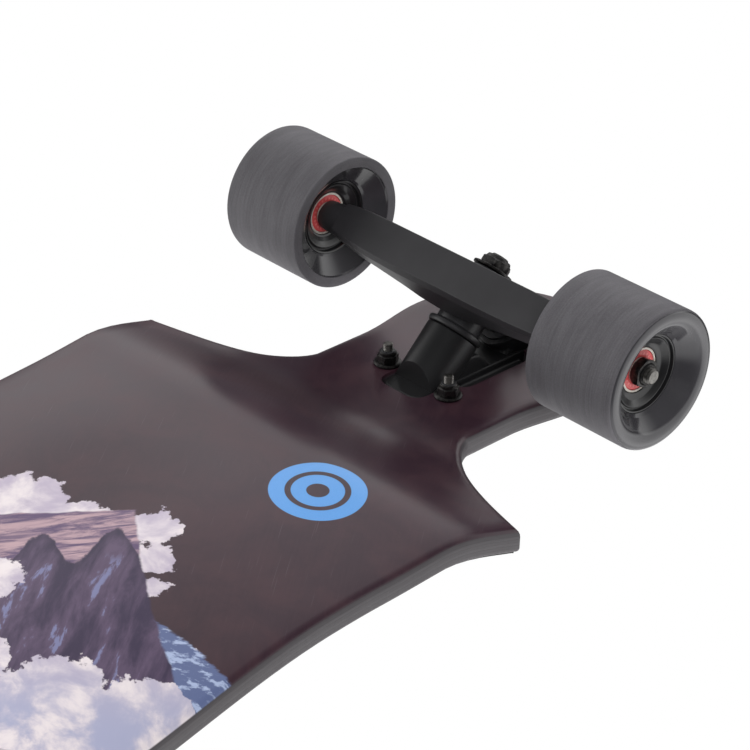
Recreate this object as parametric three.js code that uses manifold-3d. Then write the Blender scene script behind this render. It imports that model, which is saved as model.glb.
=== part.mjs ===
// Drop-through double-drop longboard, wheels down.
// Millimetres, +Z up, origin on the ground under the middle of the board, board length along Y.
import * as THREE from 'three';
import { mergeVertices } from 'three/addons/utils/BufferGeometryUtils.js';
import Module from 'manifold-3d';

const wasm = await Module();
wasm.setup();

// ---------- driving dimensions ----------
const BOARD_LENGTH = 1000;
const WHEELBASE = 818;
const BOARD_WIDTH = 253;          // across the flared corners and the middle
const WAIST_WIDTH = 238;          // where the sides draw in behind the corners
const NECK_WIDTH = 105;           // between the wheel wells
const NOSE_WIDTH = 116;           // across the rounded ends
const DECK_THICKNESS = 12;
const DROP = 18;                  // foot platform below the truck platforms
const CAMBER = 12;                // arch of the foot platform along the board
const CONCAVE = 10;               // rise of the platform edges near the drops
const DEEP_CONCAVE = 18;          // rise of the platform edges in the middle
const WHEEL_DIAMETER = 68;
const WHEEL_WIDTH = 51.5;
const HANGER_LENGTH = 180;
const AXLE_DIAMETER = 8;
const AXLE_END = 33.7;            // axle beyond the end of the hanger
const WHEEL_TUCK = 12.8;          // wheel over the end of the hanger
const AXLE_TO_DECK = 46;          // axle centre up to the underside of the truck platform
const BOLT_SPREAD = 41.3;         // mounting bolts, across the board
const BOLT_PITCH = 63.5;          // mounting bolts, along the board
const BOLT_INNER = 24;            // axle centre to the inner bolt pair
const STEER_TILT = 45;            // steering axis above the horizontal, degrees
const KINGPIN_OFFSET = 20;        // axle centre to the kingpin axis
const KINGPIN_DIAMETER = 9.5;

// ---------- clearances ----------
const REST_GAP = 0.3;             // between parts that rest on each other
const BORE_GAP = 0.15;            // radial, shafts in bores
const SLOT_GAP = 1.5;             // baseplate in the deck cut-out
const CUP_GAP = 0.8;              // bushings in the hanger's seats

const EDGE_ROUND = 4;             // lower edge of the deck
const EDGE_EASE = 2.5;            // upper edge of the deck
const FLAT_HALF = 28;             // flat strip along the foot platform
const GRIP_THICKNESS = 0.9;
const PLATE_THICKNESS = 5;

const wheelRadius = WHEEL_DIAMETER / 2;
const axleHeight = wheelRadius;
const halfLength = BOARD_LENGTH / 2;
const halfBase = WHEELBASE / 2;
const deckUnder = axleHeight + AXLE_TO_DECK;
const tilt = THREE.MathUtils.degToRad(STEER_TILT);

// ---------- mesh helpers ----------
function toSolid(geometry) {
  const bare = geometry.clone();
  bare.deleteAttribute('normal');
  bare.deleteAttribute('uv');
  const merged = mergeVertices(bare, 1e-5);
  const vertProperties = new Float32Array(merged.attributes.position.array);
  const triVerts = new Uint32Array(merged.index.array);
  return new wasm.Manifold(new wasm.Mesh({ numProp: 3, vertProperties, triVerts }));
}

function toGeometry(solid) {
  const mesh = solid.getMesh();
  const geometry = new THREE.BufferGeometry();
  geometry.setAttribute('position', new THREE.BufferAttribute(new Float32Array(mesh.vertProperties), 3));
  geometry.setIndex(new THREE.BufferAttribute(new Uint32Array(mesh.triVerts), 1));
  geometry.computeVertexNormals();
  return geometry;
}

function join(...solids) {
  return solids.reduce((sum, one) => sum.add(one));
}

function carve(solid, ...tools) {
  return tools.reduce((left, one) => left.subtract(one), solid);
}

// Rod along local Z between two heights; the end radii may differ.
function rod(r0, r1, z0, z1, sides = 24, x = 0, y = 0) {
  const geometry = new THREE.CylinderGeometry(r1, r0, z1 - z0, sides);
  geometry.rotateX(Math.PI / 2);
  geometry.translate(x, y, (z0 + z1) / 2);
  return geometry;
}

// Rod along local Y, for parts on the steering axis.
function rodY(r0, r1, y0, y1, sides, z) {
  const geometry = new THREE.CylinderGeometry(r1, r0, y1 - y0, sides);
  geometry.translate(0, (y0 + y1) / 2, z);
  return geometry;
}

function box(x0, x1, y0, y1, z0, z1) {
  const geometry = new THREE.BoxGeometry(x1 - x0, y1 - y0, z1 - z0);
  geometry.translate((x0 + x1) / 2, (y0 + y1) / 2, (z0 + z1) / 2);
  return geometry;
}

// Upright slab with rounded corners.
function slab(halfX, y0, y1, radius, z0, z1, steps = 5) {
  const shape = new THREE.Shape();
  shape.moveTo(halfX - radius, y0);
  shape.absarc(halfX - radius, y0 + radius, radius, -Math.PI / 2, 0);
  shape.absarc(halfX - radius, y1 - radius, radius, 0, Math.PI / 2);
  shape.absarc(-halfX + radius, y1 - radius, radius, Math.PI / 2, Math.PI);
  shape.absarc(-halfX + radius, y0 + radius, radius, Math.PI, 1.5 * Math.PI);
  shape.closePath();
  const geometry = new THREE.ExtrudeGeometry(shape, {
    depth: z1 - z0,
    bevelEnabled: false,
    curveSegments: steps,
  });
  geometry.translate(0, 0, z0);
  return geometry;
}

// Side profile in the Y-Z plane given a thickness across X.
function sideProfile(points, halfX) {
  const shape = new THREE.Shape(points.map(([y, z]) => new THREE.Vector2(y, z)));
  const geometry = new THREE.ExtrudeGeometry(shape, { depth: 2 * halfX, bevelEnabled: false });
  geometry.rotateY(Math.PI / 2);
  geometry.rotateX(Math.PI / 2);
  geometry.translate(-halfX, 0, 0);
  return geometry;
}

// Ring-shaped body turned about X from a closed loop of [x, radius] points, with a flat at
// the bottom. The radii are measured to the corners, or to the flats where toFlats is true.
function turned(loop, sides, toFlats = false) {
  const positions = [];
  const index = [];
  const count = loop.length;
  const stretch = toFlats ? 1 / Math.cos(Math.PI / sides) : 1;
  for (let i = 0; i < sides; i += 1) {
    const a = (2 * Math.PI * (i + 0.5)) / sides;
    for (const [x, r] of loop) {
      positions.push(x, stretch * r * Math.sin(a), -stretch * r * Math.cos(a));
    }
  }
  for (let i = 0; i < sides; i += 1) {
    const near = i * count;
    const far = ((i + 1) % sides) * count;
    for (let k = 0; k < count; k += 1) {
      const next = (k + 1) % count;
      index.push(near + k, far + k, near + next);
      index.push(near + next, far + k, far + next);
    }
  }
  const geometry = new THREE.BufferGeometry();
  geometry.setAttribute('position', new THREE.Float32BufferAttribute(positions, 3));
  geometry.setIndex(index);
  return facingOut(geometry);
}

function signedVolume(geometry) {
  const p = geometry.attributes.position;
  const index = geometry.index.array;
  const a = new THREE.Vector3();
  const b = new THREE.Vector3();
  const c = new THREE.Vector3();
  let sum = 0;
  for (let i = 0; i < index.length; i += 3) {
    a.fromBufferAttribute(p, index[i]);
    b.fromBufferAttribute(p, index[i + 1]);
    c.fromBufferAttribute(p, index[i + 2]);
    sum += a.dot(b.cross(c)) / 6;
  }
  return sum;
}

function facingOut(geometry) {
  if (signedVolume(geometry) < 0) {
    const index = geometry.index.array;
    for (let i = 0; i < index.length; i += 3) {
      [index[i + 1], index[i + 2]] = [index[i + 2], index[i + 1]];
    }
  }
  geometry.computeVertexNormals();
  return geometry;
}

function named(name, geometry, color, roughness = 0.6, metalness = 0) {
  const material = new THREE.MeshStandardMaterial({ color, roughness, metalness });
  const mesh = new THREE.Mesh(geometry, material);
  mesh.name = name;
  return mesh;
}

function smooth(t) {
  const u = Math.min(1, Math.max(0, t));
  return u * u * (3 - 2 * u);
}

// ---------- deck surface ----------
const cornerAt = halfBase - 84;          // flared corners, from the middle of the board
const neckAt = halfBase - 42;            // inner end of the neck
const noseAt = halfBase + 31;            // where the rounded end begins
const rampOuter = halfBase - 60;
const rampInner = halfBase - 130;
const concaveOuter = halfBase - 50;
const concaveInner = halfBase - 190;
const archOuter = halfBase - 164;
const archInner = halfBase - 349;

function arch(v) {
  return smooth((archOuter - v) / (archOuter - archInner));
}

function underside(x, y) {
  const v = Math.abs(y);
  const sink = DROP * smooth((rampOuter - v) / (rampOuter - rampInner));
  const near = CONCAVE * smooth((concaveOuter - v) / (concaveOuter - concaveInner));
  const bend = near + (DEEP_CONCAVE - CONCAVE) * arch(v);
  const reach = Math.max(0, Math.abs(x) - FLAT_HALF) / (WAIST_WIDTH / 2 - FLAT_HALF);
  return deckUnder - sink + CAMBER * arch(v) + bend * reach * reach;
}

// One quarter of the outline, from the tip to the middle of the board.
function quarterOutline() {
  const points = [];
  const noseSteps = 5;
  for (let i = 0; i < noseSteps; i += 1) {
    const a = ((Math.PI / 2) * i) / noseSteps;
    points.push([(NOSE_WIDTH / 2) * Math.sin(a), noseAt + (halfLength - noseAt) * Math.cos(a)]);
  }
  const neckSteps = 3;
  for (let i = 0; i < neckSteps; i += 1) {
    const v = noseAt + ((neckAt - noseAt) * i) / neckSteps;
    const t = smooth((v - halfBase + 12) / (noseAt - halfBase + 12));
    points.push([(NECK_WIDTH + (NOSE_WIDTH - NECK_WIDTH) * t) / 2, v]);
  }
  const start = new THREE.Vector2(NECK_WIDTH / 2, neckAt);
  const knee = new THREE.Vector2(NECK_WIDTH / 2 + 6.5, cornerAt + 18);
  const corner = new THREE.Vector2(BOARD_WIDTH / 2, cornerAt);
  const flare = new THREE.QuadraticBezierCurve(start, knee, corner);
  for (const p of flare.getPoints(5)) {
    points.push([p.x, p.y]);
  }
  const sideSteps = 9;
  for (let i = 1; i <= sideSteps; i += 1) {
    const v = cornerAt * (1 - Math.pow(i / sideSteps, 1.35));
    const t = Math.pow(v / cornerAt, 3.2) + arch(v);
    points.push([(WAIST_WIDTH + (BOARD_WIDTH - WAIST_WIDTH) * t) / 2, v]);
  }
  return points;
}

// Full right-hand outline from tip to tail, each point with its mitred outward normal.
function deckOutline() {
  const quarter = quarterOutline();
  const mirrored = quarter.slice(0, -1).reverse().map(([x, y]) => [x, -y]);
  const side = quarter.concat(mirrored);
  const last = side.length - 1;
  return side.map(([x, y], i) => {
    const before = i === 0 ? [-side[1][0], side[1][1]] : side[i - 1];
    const after = i === last ? [-side[last - 1][0], side[last - 1][1]] : side[i + 1];
    const n1 = new THREE.Vector2(before[1] - y, x - before[0]).normalize();
    const n2 = new THREE.Vector2(y - after[1], after[0] - x).normalize();
    const mitre = n1.clone().add(n2).divideScalar(1 + n1.dot(n2));
    return { x, y, nx: mitre.x, ny: mitre.y };
  });
}

// Closed sheet following the deck surface. The profile lists [inset, height] from the
// lower face round the edge to the upper face.
function sheet(profile, lift) {
  const outline = deckOutline();
  const last = outline.length - 1;
  const columns = [-0.78, -0.52, -0.23, 0.23, 0.52, 0.78];
  const positions = [];
  const index = [];
  const add = (x, y, z) => {
    positions.push(x, y, underside(x, y) + lift + z);
    return positions.length / 3 - 1;
  };
  const rings = profile.map(([inset, height]) => {
    const right = outline.map((p) => add(p.x - inset * p.nx, p.y - inset * p.ny, height));
    const left = outline.map((p, i) => {
      if (i === 0 || i === last) {
        return right[i];
      }
      return add(-p.x + inset * p.nx, p.y - inset * p.ny, height);
    });
    return { right, left, inset, height };
  });
  for (let k = 0; k + 1 < rings.length; k += 1) {
    const low = rings[k];
    const high = rings[k + 1];
    for (let i = 0; i < last; i += 1) {
      quad(index, low.right[i], low.right[i + 1], high.right[i + 1], high.right[i]);
      quad(index, low.left[i + 1], low.left[i], high.left[i], high.left[i + 1]);
    }
  }
  face(rings[0], true);
  face(rings[rings.length - 1], false);

  function face(ring, flip) {
    const rows = outline.map((p, i) => {
      if (i === 0 || i === last) {
        return [ring.right[i]];
      }
      const y = p.y - ring.inset * p.ny;
      const reach = p.x - ring.inset * p.nx;
      const inner = columns.map((u) => add(u * reach, y, ring.height));
      return [ring.left[i], ...inner, ring.right[i]];
    });
    for (let i = 0; i < last; i += 1) {
      const a = rows[i];
      const b = rows[i + 1];
      const count = Math.max(a.length, b.length) - 1;
      for (let c = 0; c < count; c += 1) {
        const a0 = a[Math.min(c, a.length - 1)];
        const a1 = a[Math.min(c + 1, a.length - 1)];
        const b0 = b[Math.min(c, b.length - 1)];
        const b1 = b[Math.min(c + 1, b.length - 1)];
        if (flip) {
          quad(index, a0, b0, b1, a1);
        } else {
          quad(index, a0, a1, b1, b0);
        }
      }
    }
  }

  const geometry = new THREE.BufferGeometry();
  geometry.setAttribute('position', new THREE.Float32BufferAttribute(positions, 3));
  geometry.setIndex(index);
  return facingOut(geometry);
}

function quad(index, a, b, c, d) {
  if (a !== b && b !== c && a !== c) {
    index.push(a, b, c);
  }
  if (a !== c && c !== d && a !== d) {
    index.push(a, c, d);
  }
}

// ---------- truck frames ----------
// Truck frame: origin on the axle, +Y to the near tip of the board, +Z up.
// Steering frame: the truck frame turned by the steering tilt, so that Y runs along the
// steering axis towards the pivot and Z runs up the kingpin towards the baseplate.
function placeTruck(geometry, end) {
  const placed = geometry.clone();
  if (end < 0) {
    placed.rotateZ(Math.PI);
  }
  placed.translate(0, end * halfBase, axleHeight);
  return placed;
}

function tilted(geometry) {
  geometry.rotateX(tilt);
  return geometry;
}

const steerLevel = 2.1;                  // steering axis above the axle, in the steering frame
const bossAt = KINGPIN_OFFSET / Math.cos(tilt) - AXLE_TO_DECK * Math.tan(tilt);
const housingAt = AXLE_TO_DECK / Math.tan(tilt) - steerLevel / Math.sin(tilt);
const plateLow = AXLE_TO_DECK + DECK_THICKNESS + REST_GAP;
const plateTop = plateLow + PLATE_THICKNESS;
const slotInner = bossAt - 20.8;
const slotOuter = housingAt + 3;
const slotHalf = 13.8;
const slotWide = 21.5;
const wideInner = 9 - BOLT_INNER;          // the wide middle of the slot ends short of the bolts
const wideOuter = BOLT_PITCH - BOLT_INNER - 4.5;
const bossEnd = bossAt - 8.8;              // flat lower end of the kingpin boss
const plateInner = slotInner - 3.5;
const plateOuter = slotOuter + 3;
const plateHalf = BOLT_SPREAD / 2 + 7.5;
const boltOuter = BOLT_PITCH - BOLT_INNER;
const boltSites = [
  [-BOLT_SPREAD / 2, -BOLT_INNER],
  [BOLT_SPREAD / 2, -BOLT_INNER],
  [-BOLT_SPREAD / 2, boltOuter],
  [BOLT_SPREAD / 2, boltOuter],
];

// Stations up the kingpin, measured from the axle.
const nutLow = -21;
const roadWasherLow = -15.2;
const roadBushLow = -13.4;
const seatLow = -3;
const seatHigh = 7.2;
const boardWasherLow = 18.4;
const boardWasherHigh = 21.4;
const kingpinAtDeck = AXLE_TO_DECK / Math.cos(tilt) - KINGPIN_OFFSET;
const headLow = kingpinAtDeck + 12;
const bossTop = headLow + 5;
const pivotTip = AXLE_TO_DECK / Math.sin(tilt) - steerLevel - 9;
const cupOpen = pivotTip - 10;
const cupRadius = 10;
const pinRadius = 6.5;
const bossRadius = 13.5;
const kingpinRadius = KINGPIN_DIAMETER / 2;
const kingpinHex = kingpinRadius + 3.45;
const kingpinBore = kingpinRadius + BORE_GAP;
const hangerBore = kingpinRadius + 2.25;
const bushingRadius = 11.6;
const axleHole = AXLE_DIAMETER / 2 + BORE_GAP;

// ---------- deck and grip ----------
function deckCuts() {
  const cuts = [];
  for (const end of [-1, 1]) {
    const low = AXLE_TO_DECK - 30;
    const high = plateTop + 30;
    cuts.push(slab(slotHalf, slotInner, slotOuter, 8, low, high, 3));
    cuts.push(slab(slotWide, wideInner, wideOuter, 9, low, high, 3));
    for (const [x, y] of boltSites) {
      cuts.push(rod(2.7, 2.7, low, high, 8, x, y));
    }
    const own = cuts.splice(-6).map((g) => toSolid(placeTruck(g, end)));
    cuts.push(...own);
  }
  return cuts;
}

function makeDeck() {
  const t = DECK_THICKNESS;
  const profile = [
    [EDGE_ROUND, 0],
    [EDGE_ROUND * 0.3, EDGE_ROUND * 0.25],
    [0, EDGE_ROUND * 0.9],
    [0, t - EDGE_EASE],
    [EDGE_EASE * 0.35, t - EDGE_EASE * 0.3],
    [EDGE_EASE, t],
  ];
  return toGeometry(carve(toSolid(sheet(profile, 0)), ...deckCuts()));
}

function makeGrip() {
  const profile = [[EDGE_EASE, 0], [EDGE_EASE, GRIP_THICKNESS]];
  const windows = [-1, 1].map((end) => {
    const hole = slab(plateHalf + 1.5, plateInner - 1.5, plateOuter + 1.5, 8, 0, 120, 3);
    return toSolid(placeTruck(hole, end));
  });
  return toGeometry(carve(toSolid(sheet(profile, DECK_THICKNESS + REST_GAP)), ...windows));
}

// ---------- truck parts, in the truck frame ----------
function makeBaseplate() {
  const inner = slotInner + SLOT_GAP;
  const outer = slotOuter - SLOT_GAP;
  const half = slotHalf - SLOT_GAP;
  const under = AXLE_TO_DECK;
  const plate = slab(plateHalf, plateInner, plateOuter, 7, plateLow, plateTop, 3);
  const tongue = slab(half, inner, outer, 6.5, under + 1, plateTop - 1, 2);
  const wide = slotWide - SLOT_GAP;
  const shoulders = slab(wide, wideInner + 1.5, wideOuter - 1.5, 7.5, under + 5, plateTop - 1, 2);
  const bossLow = boardWasherHigh + REST_GAP;
  const boss = tilted(rod(bossRadius, bossRadius, bossLow, bossTop, 18, 0, KINGPIN_OFFSET));
  const high = under + 10;
  const flankLine = [
    [bossEnd, high],
    [bossEnd, under],
    [bossAt + 3.7, under - 10],
    [bossAt + 23.7, under - 7.5],
    [bossAt + 31.7, under + 1],
    [bossAt + 31.7, high],
  ];
  const flank = sideProfile(flankLine, 11);
  const housing = tilted(rodY(13, 13, cupOpen + 1.5, pivotTip + 7, 16, steerLevel));
  const strutLine = [
    [housingAt - 17, high],
    [housingAt - 17, under + 1.5],
    [housingAt - 9, under - 9],
    [housingAt - 1, under - 6],
    [housingAt + 1, under + 1],
    [housingAt + 1, high],
  ];
  const strut = sideProfile(strutLine, 10);
  const endFace = box(-40, 40, bossEnd, 90, -40, plateTop - 1);
  const around = carve(
    toSolid(box(-60, 60, -90, 90, under - 0.8, plateLow + 0.5)),
    toSolid(slab(half + 0.7, inner, outer, 6, 0, 90, 2)),
  );
  const towers = join(toSolid(boss), toSolid(flank), toSolid(housing), toSolid(strut));
  const shaped = carve(towers.intersect(toSolid(endFace)), around);
  const body = join(toSolid(plate), toSolid(tongue), toSolid(shoulders), shaped);

  const bolts = boltSites.map(([x, y]) => toSolid(rod(2.8, 2.8, plateLow - 5, plateTop + 5, 8, x, y)));
  const shaft = tilted(rod(kingpinBore + 0.1, kingpinBore + 0.1, 0, 80, 12, 0, KINGPIN_OFFSET));
  const pocketRadius = kingpinHex + 0.6;
  const pocketLow = headLow - REST_GAP;
  const pocket = tilted(rod(pocketRadius, pocketRadius, pocketLow, headLow + 8, 12, 0, KINGPIN_OFFSET));
  const well = box(-pocketRadius, pocketRadius, bossAt - 17.5, bossAt - 3, under + 10, plateTop + 20);
  const cupWall = cupRadius + REST_GAP;
  const cupBore = tilted(rodY(cupWall, cupWall, 30, pivotTip + 4.3, 16, steerLevel));
  const hollows = [shaft, pocket, well, cupBore].map(toSolid);
  return toGeometry(carve(body, ...bolts, ...hollows));
}

function makePivotCup() {
  const wall = rodY(cupRadius, cupRadius, cupOpen, pivotTip + 4, 16, steerLevel);
  const r = pinRadius + REST_GAP;
  const bore = rodY(r, r, cupOpen - 5, pivotTip + 0.6, 12, steerLevel);
  return toGeometry(carve(toSolid(wall), toSolid(bore)));
}

// Bar with a rounded-square section, tapering to a round shoulder at each wheel.
function hangerBar() {
  const half = HANGER_LENGTH / 2;
  const sections = [
    [half, 7.6, 7.6, 1], [half - 8, 8, 8, 0.9], [half - 18, 8.6, 8.4, 0.6], [half - 34, 9.6, 8.9, 0.32],
    [half - 56, 10, 9.2, 0.26],
  ];
  const stations = sections.map(([x, m, k, r]) => ({ x, m, k, r }));
  stations.push(...sections.slice().reverse().map(([x, m, k, r]) => ({ x: -x, m, k, r })));
  const sides = 16;
  const positions = [];
  const index = [];
  for (const { x, m, k, r } of stations) {
    for (let i = 0; i < sides; i += 1) {
      const a = (2 * Math.PI * (i + 0.5)) / sides;
      const c = Math.cos(a);
      const s = Math.sin(a);
      const px = Math.sign(c) * Math.pow(Math.abs(c), r);
      const py = Math.sign(s) * Math.pow(Math.abs(s), r);
      positions.push(x, px * m, py * k);
    }
  }
  for (let j = 0; j + 1 < stations.length; j += 1) {
    for (let i = 0; i < sides; i += 1) {
      const n = (i + 1) % sides;
      quad(index, j * sides + i, j * sides + n, (j + 1) * sides + n, (j + 1) * sides + i);
    }
  }
  const tail = (stations.length - 1) * sides;
  for (let i = 1; i + 1 < sides; i += 1) {
    index.push(0, i + 1, i);
    index.push(tail, tail + i, tail + i + 1);
  }
  const geometry = new THREE.BufferGeometry();
  geometry.setAttribute('position', new THREE.Float32BufferAttribute(positions, 3));
  geometry.setIndex(index);
  return facingOut(geometry);
}

// Tapered web between the bar and the bushing seat, one slab of plan outline.
function hangerWeb(xBar, xSeat, reach, low, high) {
  const shape = new THREE.Shape();
  shape.moveTo(-xBar, 0);
  shape.lineTo(xBar, 0);
  shape.lineTo(xSeat, reach);
  shape.lineTo(-xSeat, reach);
  shape.closePath();
  const geometry = new THREE.ExtrudeGeometry(shape, { depth: high - low, bevelEnabled: false });
  geometry.translate(0, 0, low);
  return geometry;
}

// Wedge-shaped skirt on the board side of the bar, deepest beside the bushing: the hull of a
// shallow front outline and a deeper rear one.
function hangerSkirt() {
  const tipX = HANGER_LENGTH / 2 - 17;
  const corners = [];
  for (const side of [-1, 1]) {
    corners.push([side * tipX, -6, 3], [side * tipX, -6, 8.5], [side * tipX, 4, 3], [side * tipX, 4, 9]);
    corners.push([side * 46, -7.2, 11.4], [side * 14, -7.2, 12.3], [side * 14, 4, 15.3]);
  }
  return wasm.Manifold.hull(corners);
}

function makeHanger() {
  const bar = toSolid(hangerBar());
  const web = toSolid(hangerWeb(HANGER_LENGTH / 2 - 22, 15, 24, seatLow, seatHigh));
  const skirt = hangerSkirt();
  const seat = toSolid(rod(17, 17, seatLow - 2.5, seatHigh + 3.2, 20, 0, KINGPIN_OFFSET));
  const nose = toSolid(rodY(9.5, pinRadius, KINGPIN_OFFSET + 10, pivotTip - 12, 12, steerLevel));
  const pin = toSolid(rodY(pinRadius, pinRadius, pivotTip - 12.5, pivotTip - 2, 12, steerLevel));
  const tip = toSolid(rodY(pinRadius, 3.5, pivotTip - 2.2, pivotTip, 12, steerLevel));
  const body = join(bar, web, skirt, seat, nose, pin, tip);
  const bore = toSolid(rod(hangerBore, hangerBore, -60, 60, 14, 0, KINGPIN_OFFSET));
  const cup = bushingRadius + CUP_GAP;
  const boardCup = toSolid(rod(cup, cup, seatHigh, 60, 18, 0, KINGPIN_OFFSET));
  const roadCup = toSolid(rod(cup, cup, -60, seatLow, 18, 0, KINGPIN_OFFSET));
  const axleBore = new THREE.CylinderGeometry(axleHole, axleHole, 2 * HANGER_LENGTH, 12);
  axleBore.rotateZ(Math.PI / 2);
  return toGeometry(carve(body, bore, boardCup, roadCup, toSolid(axleBore)));
}

function makeAxle() {
  const r = AXLE_DIAMETER / 2;
  const rodSolid = new THREE.CylinderGeometry(r, r, HANGER_LENGTH + 2 * AXLE_END - 2, 12);
  const tips = new THREE.CylinderGeometry(r - 0.8, r - 0.8, HANGER_LENGTH + 2 * AXLE_END, 12);
  const solid = join(toSolid(rodSolid), toSolid(tips));
  const geometry = toGeometry(solid);
  geometry.rotateZ(Math.PI / 2);
  return geometry;
}

function kingpinRing(outer0, outer1, low, high, sides = 18) {
  const body = toSolid(rod(outer0, outer1, low, high, sides, 0, KINGPIN_OFFSET));
  const hole = toSolid(rod(kingpinBore, kingpinBore, low - 5, high + 5, 12, 0, KINGPIN_OFFSET));
  return toGeometry(carve(body, hole));
}

function bushing(lowRadius, low, high) {
  return kingpinRing(lowRadius, bushingRadius, low, high);
}

function makeKingpin() {
  const r = kingpinRadius;
  const shaft = toSolid(rod(r, r, nutLow - 1, headLow + 2, 12, 0, KINGPIN_OFFSET));
  const head = toSolid(rod(kingpinHex, kingpinHex, headLow, headLow + 6, 6, 0, KINGPIN_OFFSET));
  return toGeometry(join(shaft, head));
}

function makeKingpinNut() {
  const high = roadWasherLow - REST_GAP;
  const hex = toSolid(rod(kingpinHex, kingpinHex, nutLow + 1.8, high, 6, 0, KINGPIN_OFFSET));
  const r = kingpinRadius + 1.15;
  const collar = toSolid(rod(r, r + 0.7, nutLow, nutLow + 2, 14, 0, KINGPIN_OFFSET));
  const hole = toSolid(rod(kingpinBore, kingpinBore, nutLow - 5, high + 5, 12, 0, KINGPIN_OFFSET));
  return toGeometry(carve(join(hex, collar), hole));
}

const boltTip = AXLE_TO_DECK - 11.3;

function makeBolt(x, y) {
  const head = toSolid(rod(4.7, 3.6, plateTop + REST_GAP, plateTop + 3, 12, x, y));
  const shaft = toSolid(rod(2.4, 2.4, boltTip, plateTop + 1.2, 8, x, y));
  const socket = toSolid(rod(1.6, 1.6, plateTop + 1.6, plateTop + 8, 6, x, y));
  return toGeometry(carve(join(head, shaft), socket));
}

function makeLockNut(x, y) {
  const top = AXLE_TO_DECK - REST_GAP;
  const flange = toSolid(rod(6.4, 6.8, top - 1.3, top, 12, x, y));
  const hex = toSolid(rod(5.4, 5.4, top - 5.6, top - 1, 6, x, y));
  const collar = toSolid(rod(3.7, 4.3, top - 7.4, top - 5.2, 8, x, y));
  const hole = toSolid(rod(2.7, 2.7, top - 12, top + 4, 8, x, y));
  return toGeometry(carve(join(flange, hex, collar), hole));
}

// ---------- wheel parts, in the truck frame, for the +X wheel ----------
const wheelInner = HANGER_LENGTH / 2 - WHEEL_TUCK;
const wheelOuter = wheelInner + WHEEL_WIDTH;
const bearingWidth = 7;
const bearingRadius = 11;
const innerBearingAt = HANGER_LENGTH / 2 + 1;
const outerBearingAt = innerBearingAt + 17;
const coreRadius = 19;
const coreIn = wheelInner + 8.2;
const coreOut = wheelOuter - 9;
const tyreSides = 26;
const coreSides = 16;

function makeTyre() {
  const r = wheelRadius;
  const loop = [
    [wheelInner, r - 5.2],
    [wheelInner, r - 0.7],
    [wheelInner + 0.7, r],
    [wheelOuter - 3.6, r],
    [wheelOuter - 1, r - 1.2],
    [wheelOuter, r - 3.6],
    [wheelOuter - 0.9, r - 5],
    [coreOut + 0.6, coreRadius + 0.4],
    [coreOut - 0.4, coreRadius + REST_GAP],
    [coreIn + 0.4, coreRadius + REST_GAP],
    [coreIn - 0.4, coreRadius + 0.6],
    [wheelInner + 0.6, r - 5.8],
  ];
  return turned(loop, tyreSides, true);
}

function makeCore() {
  const seatIn = innerBearingAt + bearingWidth + REST_GAP;
  const seatOut = outerBearingAt - REST_GAP;
  const bore = bearingRadius + BORE_GAP;
  const loop = [
    [coreIn, coreRadius],
    [coreOut, coreRadius],
    [coreOut, coreRadius - 1.6],
    [coreOut - 2.6, coreRadius - 2.4],
    [outerBearingAt + bearingWidth + 0.4, bore + 0.8],
    [outerBearingAt + bearingWidth + 0.2, bore],
    [seatOut, bore],
    [seatOut, 8.6],
    [seatIn, 8.6],
    [seatIn, bore],
    [innerBearingAt - 0.4, bore],
    [innerBearingAt - 1.2, bore + 1.2],
    [coreIn + 2.6, coreRadius - 2.4],
    [coreIn, coreRadius - 1.6],
  ];
  return turned(loop, coreSides);
}

function makeBearing(at) {
  const loop = [
    [at, axleHole],
    [at, bearingRadius],
    [at + bearingWidth, bearingRadius],
    [at + bearingWidth, axleHole],
  ];
  return turned(loop, coreSides);
}

function makeAxleNut() {
  const at = outerBearingAt + bearingWidth + 1.2;
  const hex = toSolid(rod(6.6, 6.6, at, at + 4.4, 6));
  const collar = toSolid(rod(5.5, 5, at + 4.2, at + 6, 12));
  const hole = toSolid(rod(axleHole, axleHole, at - 5, at + 12, 12));
  const geometry = toGeometry(carve(join(hex, collar), hole));
  geometry.rotateY(Math.PI / 2);
  return geometry;
}

// ---------- assembly ----------
const BLACK = 0x141416;
const STEEL = 0x8d8f94;

const board = new THREE.Group();
board.name = 'longboard';
board.add(named('deck', makeDeck(), 0x2a2126, 0.45));
board.add(named('grip_tape', makeGrip(), 0x1b1b1d, 0.95));

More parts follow.
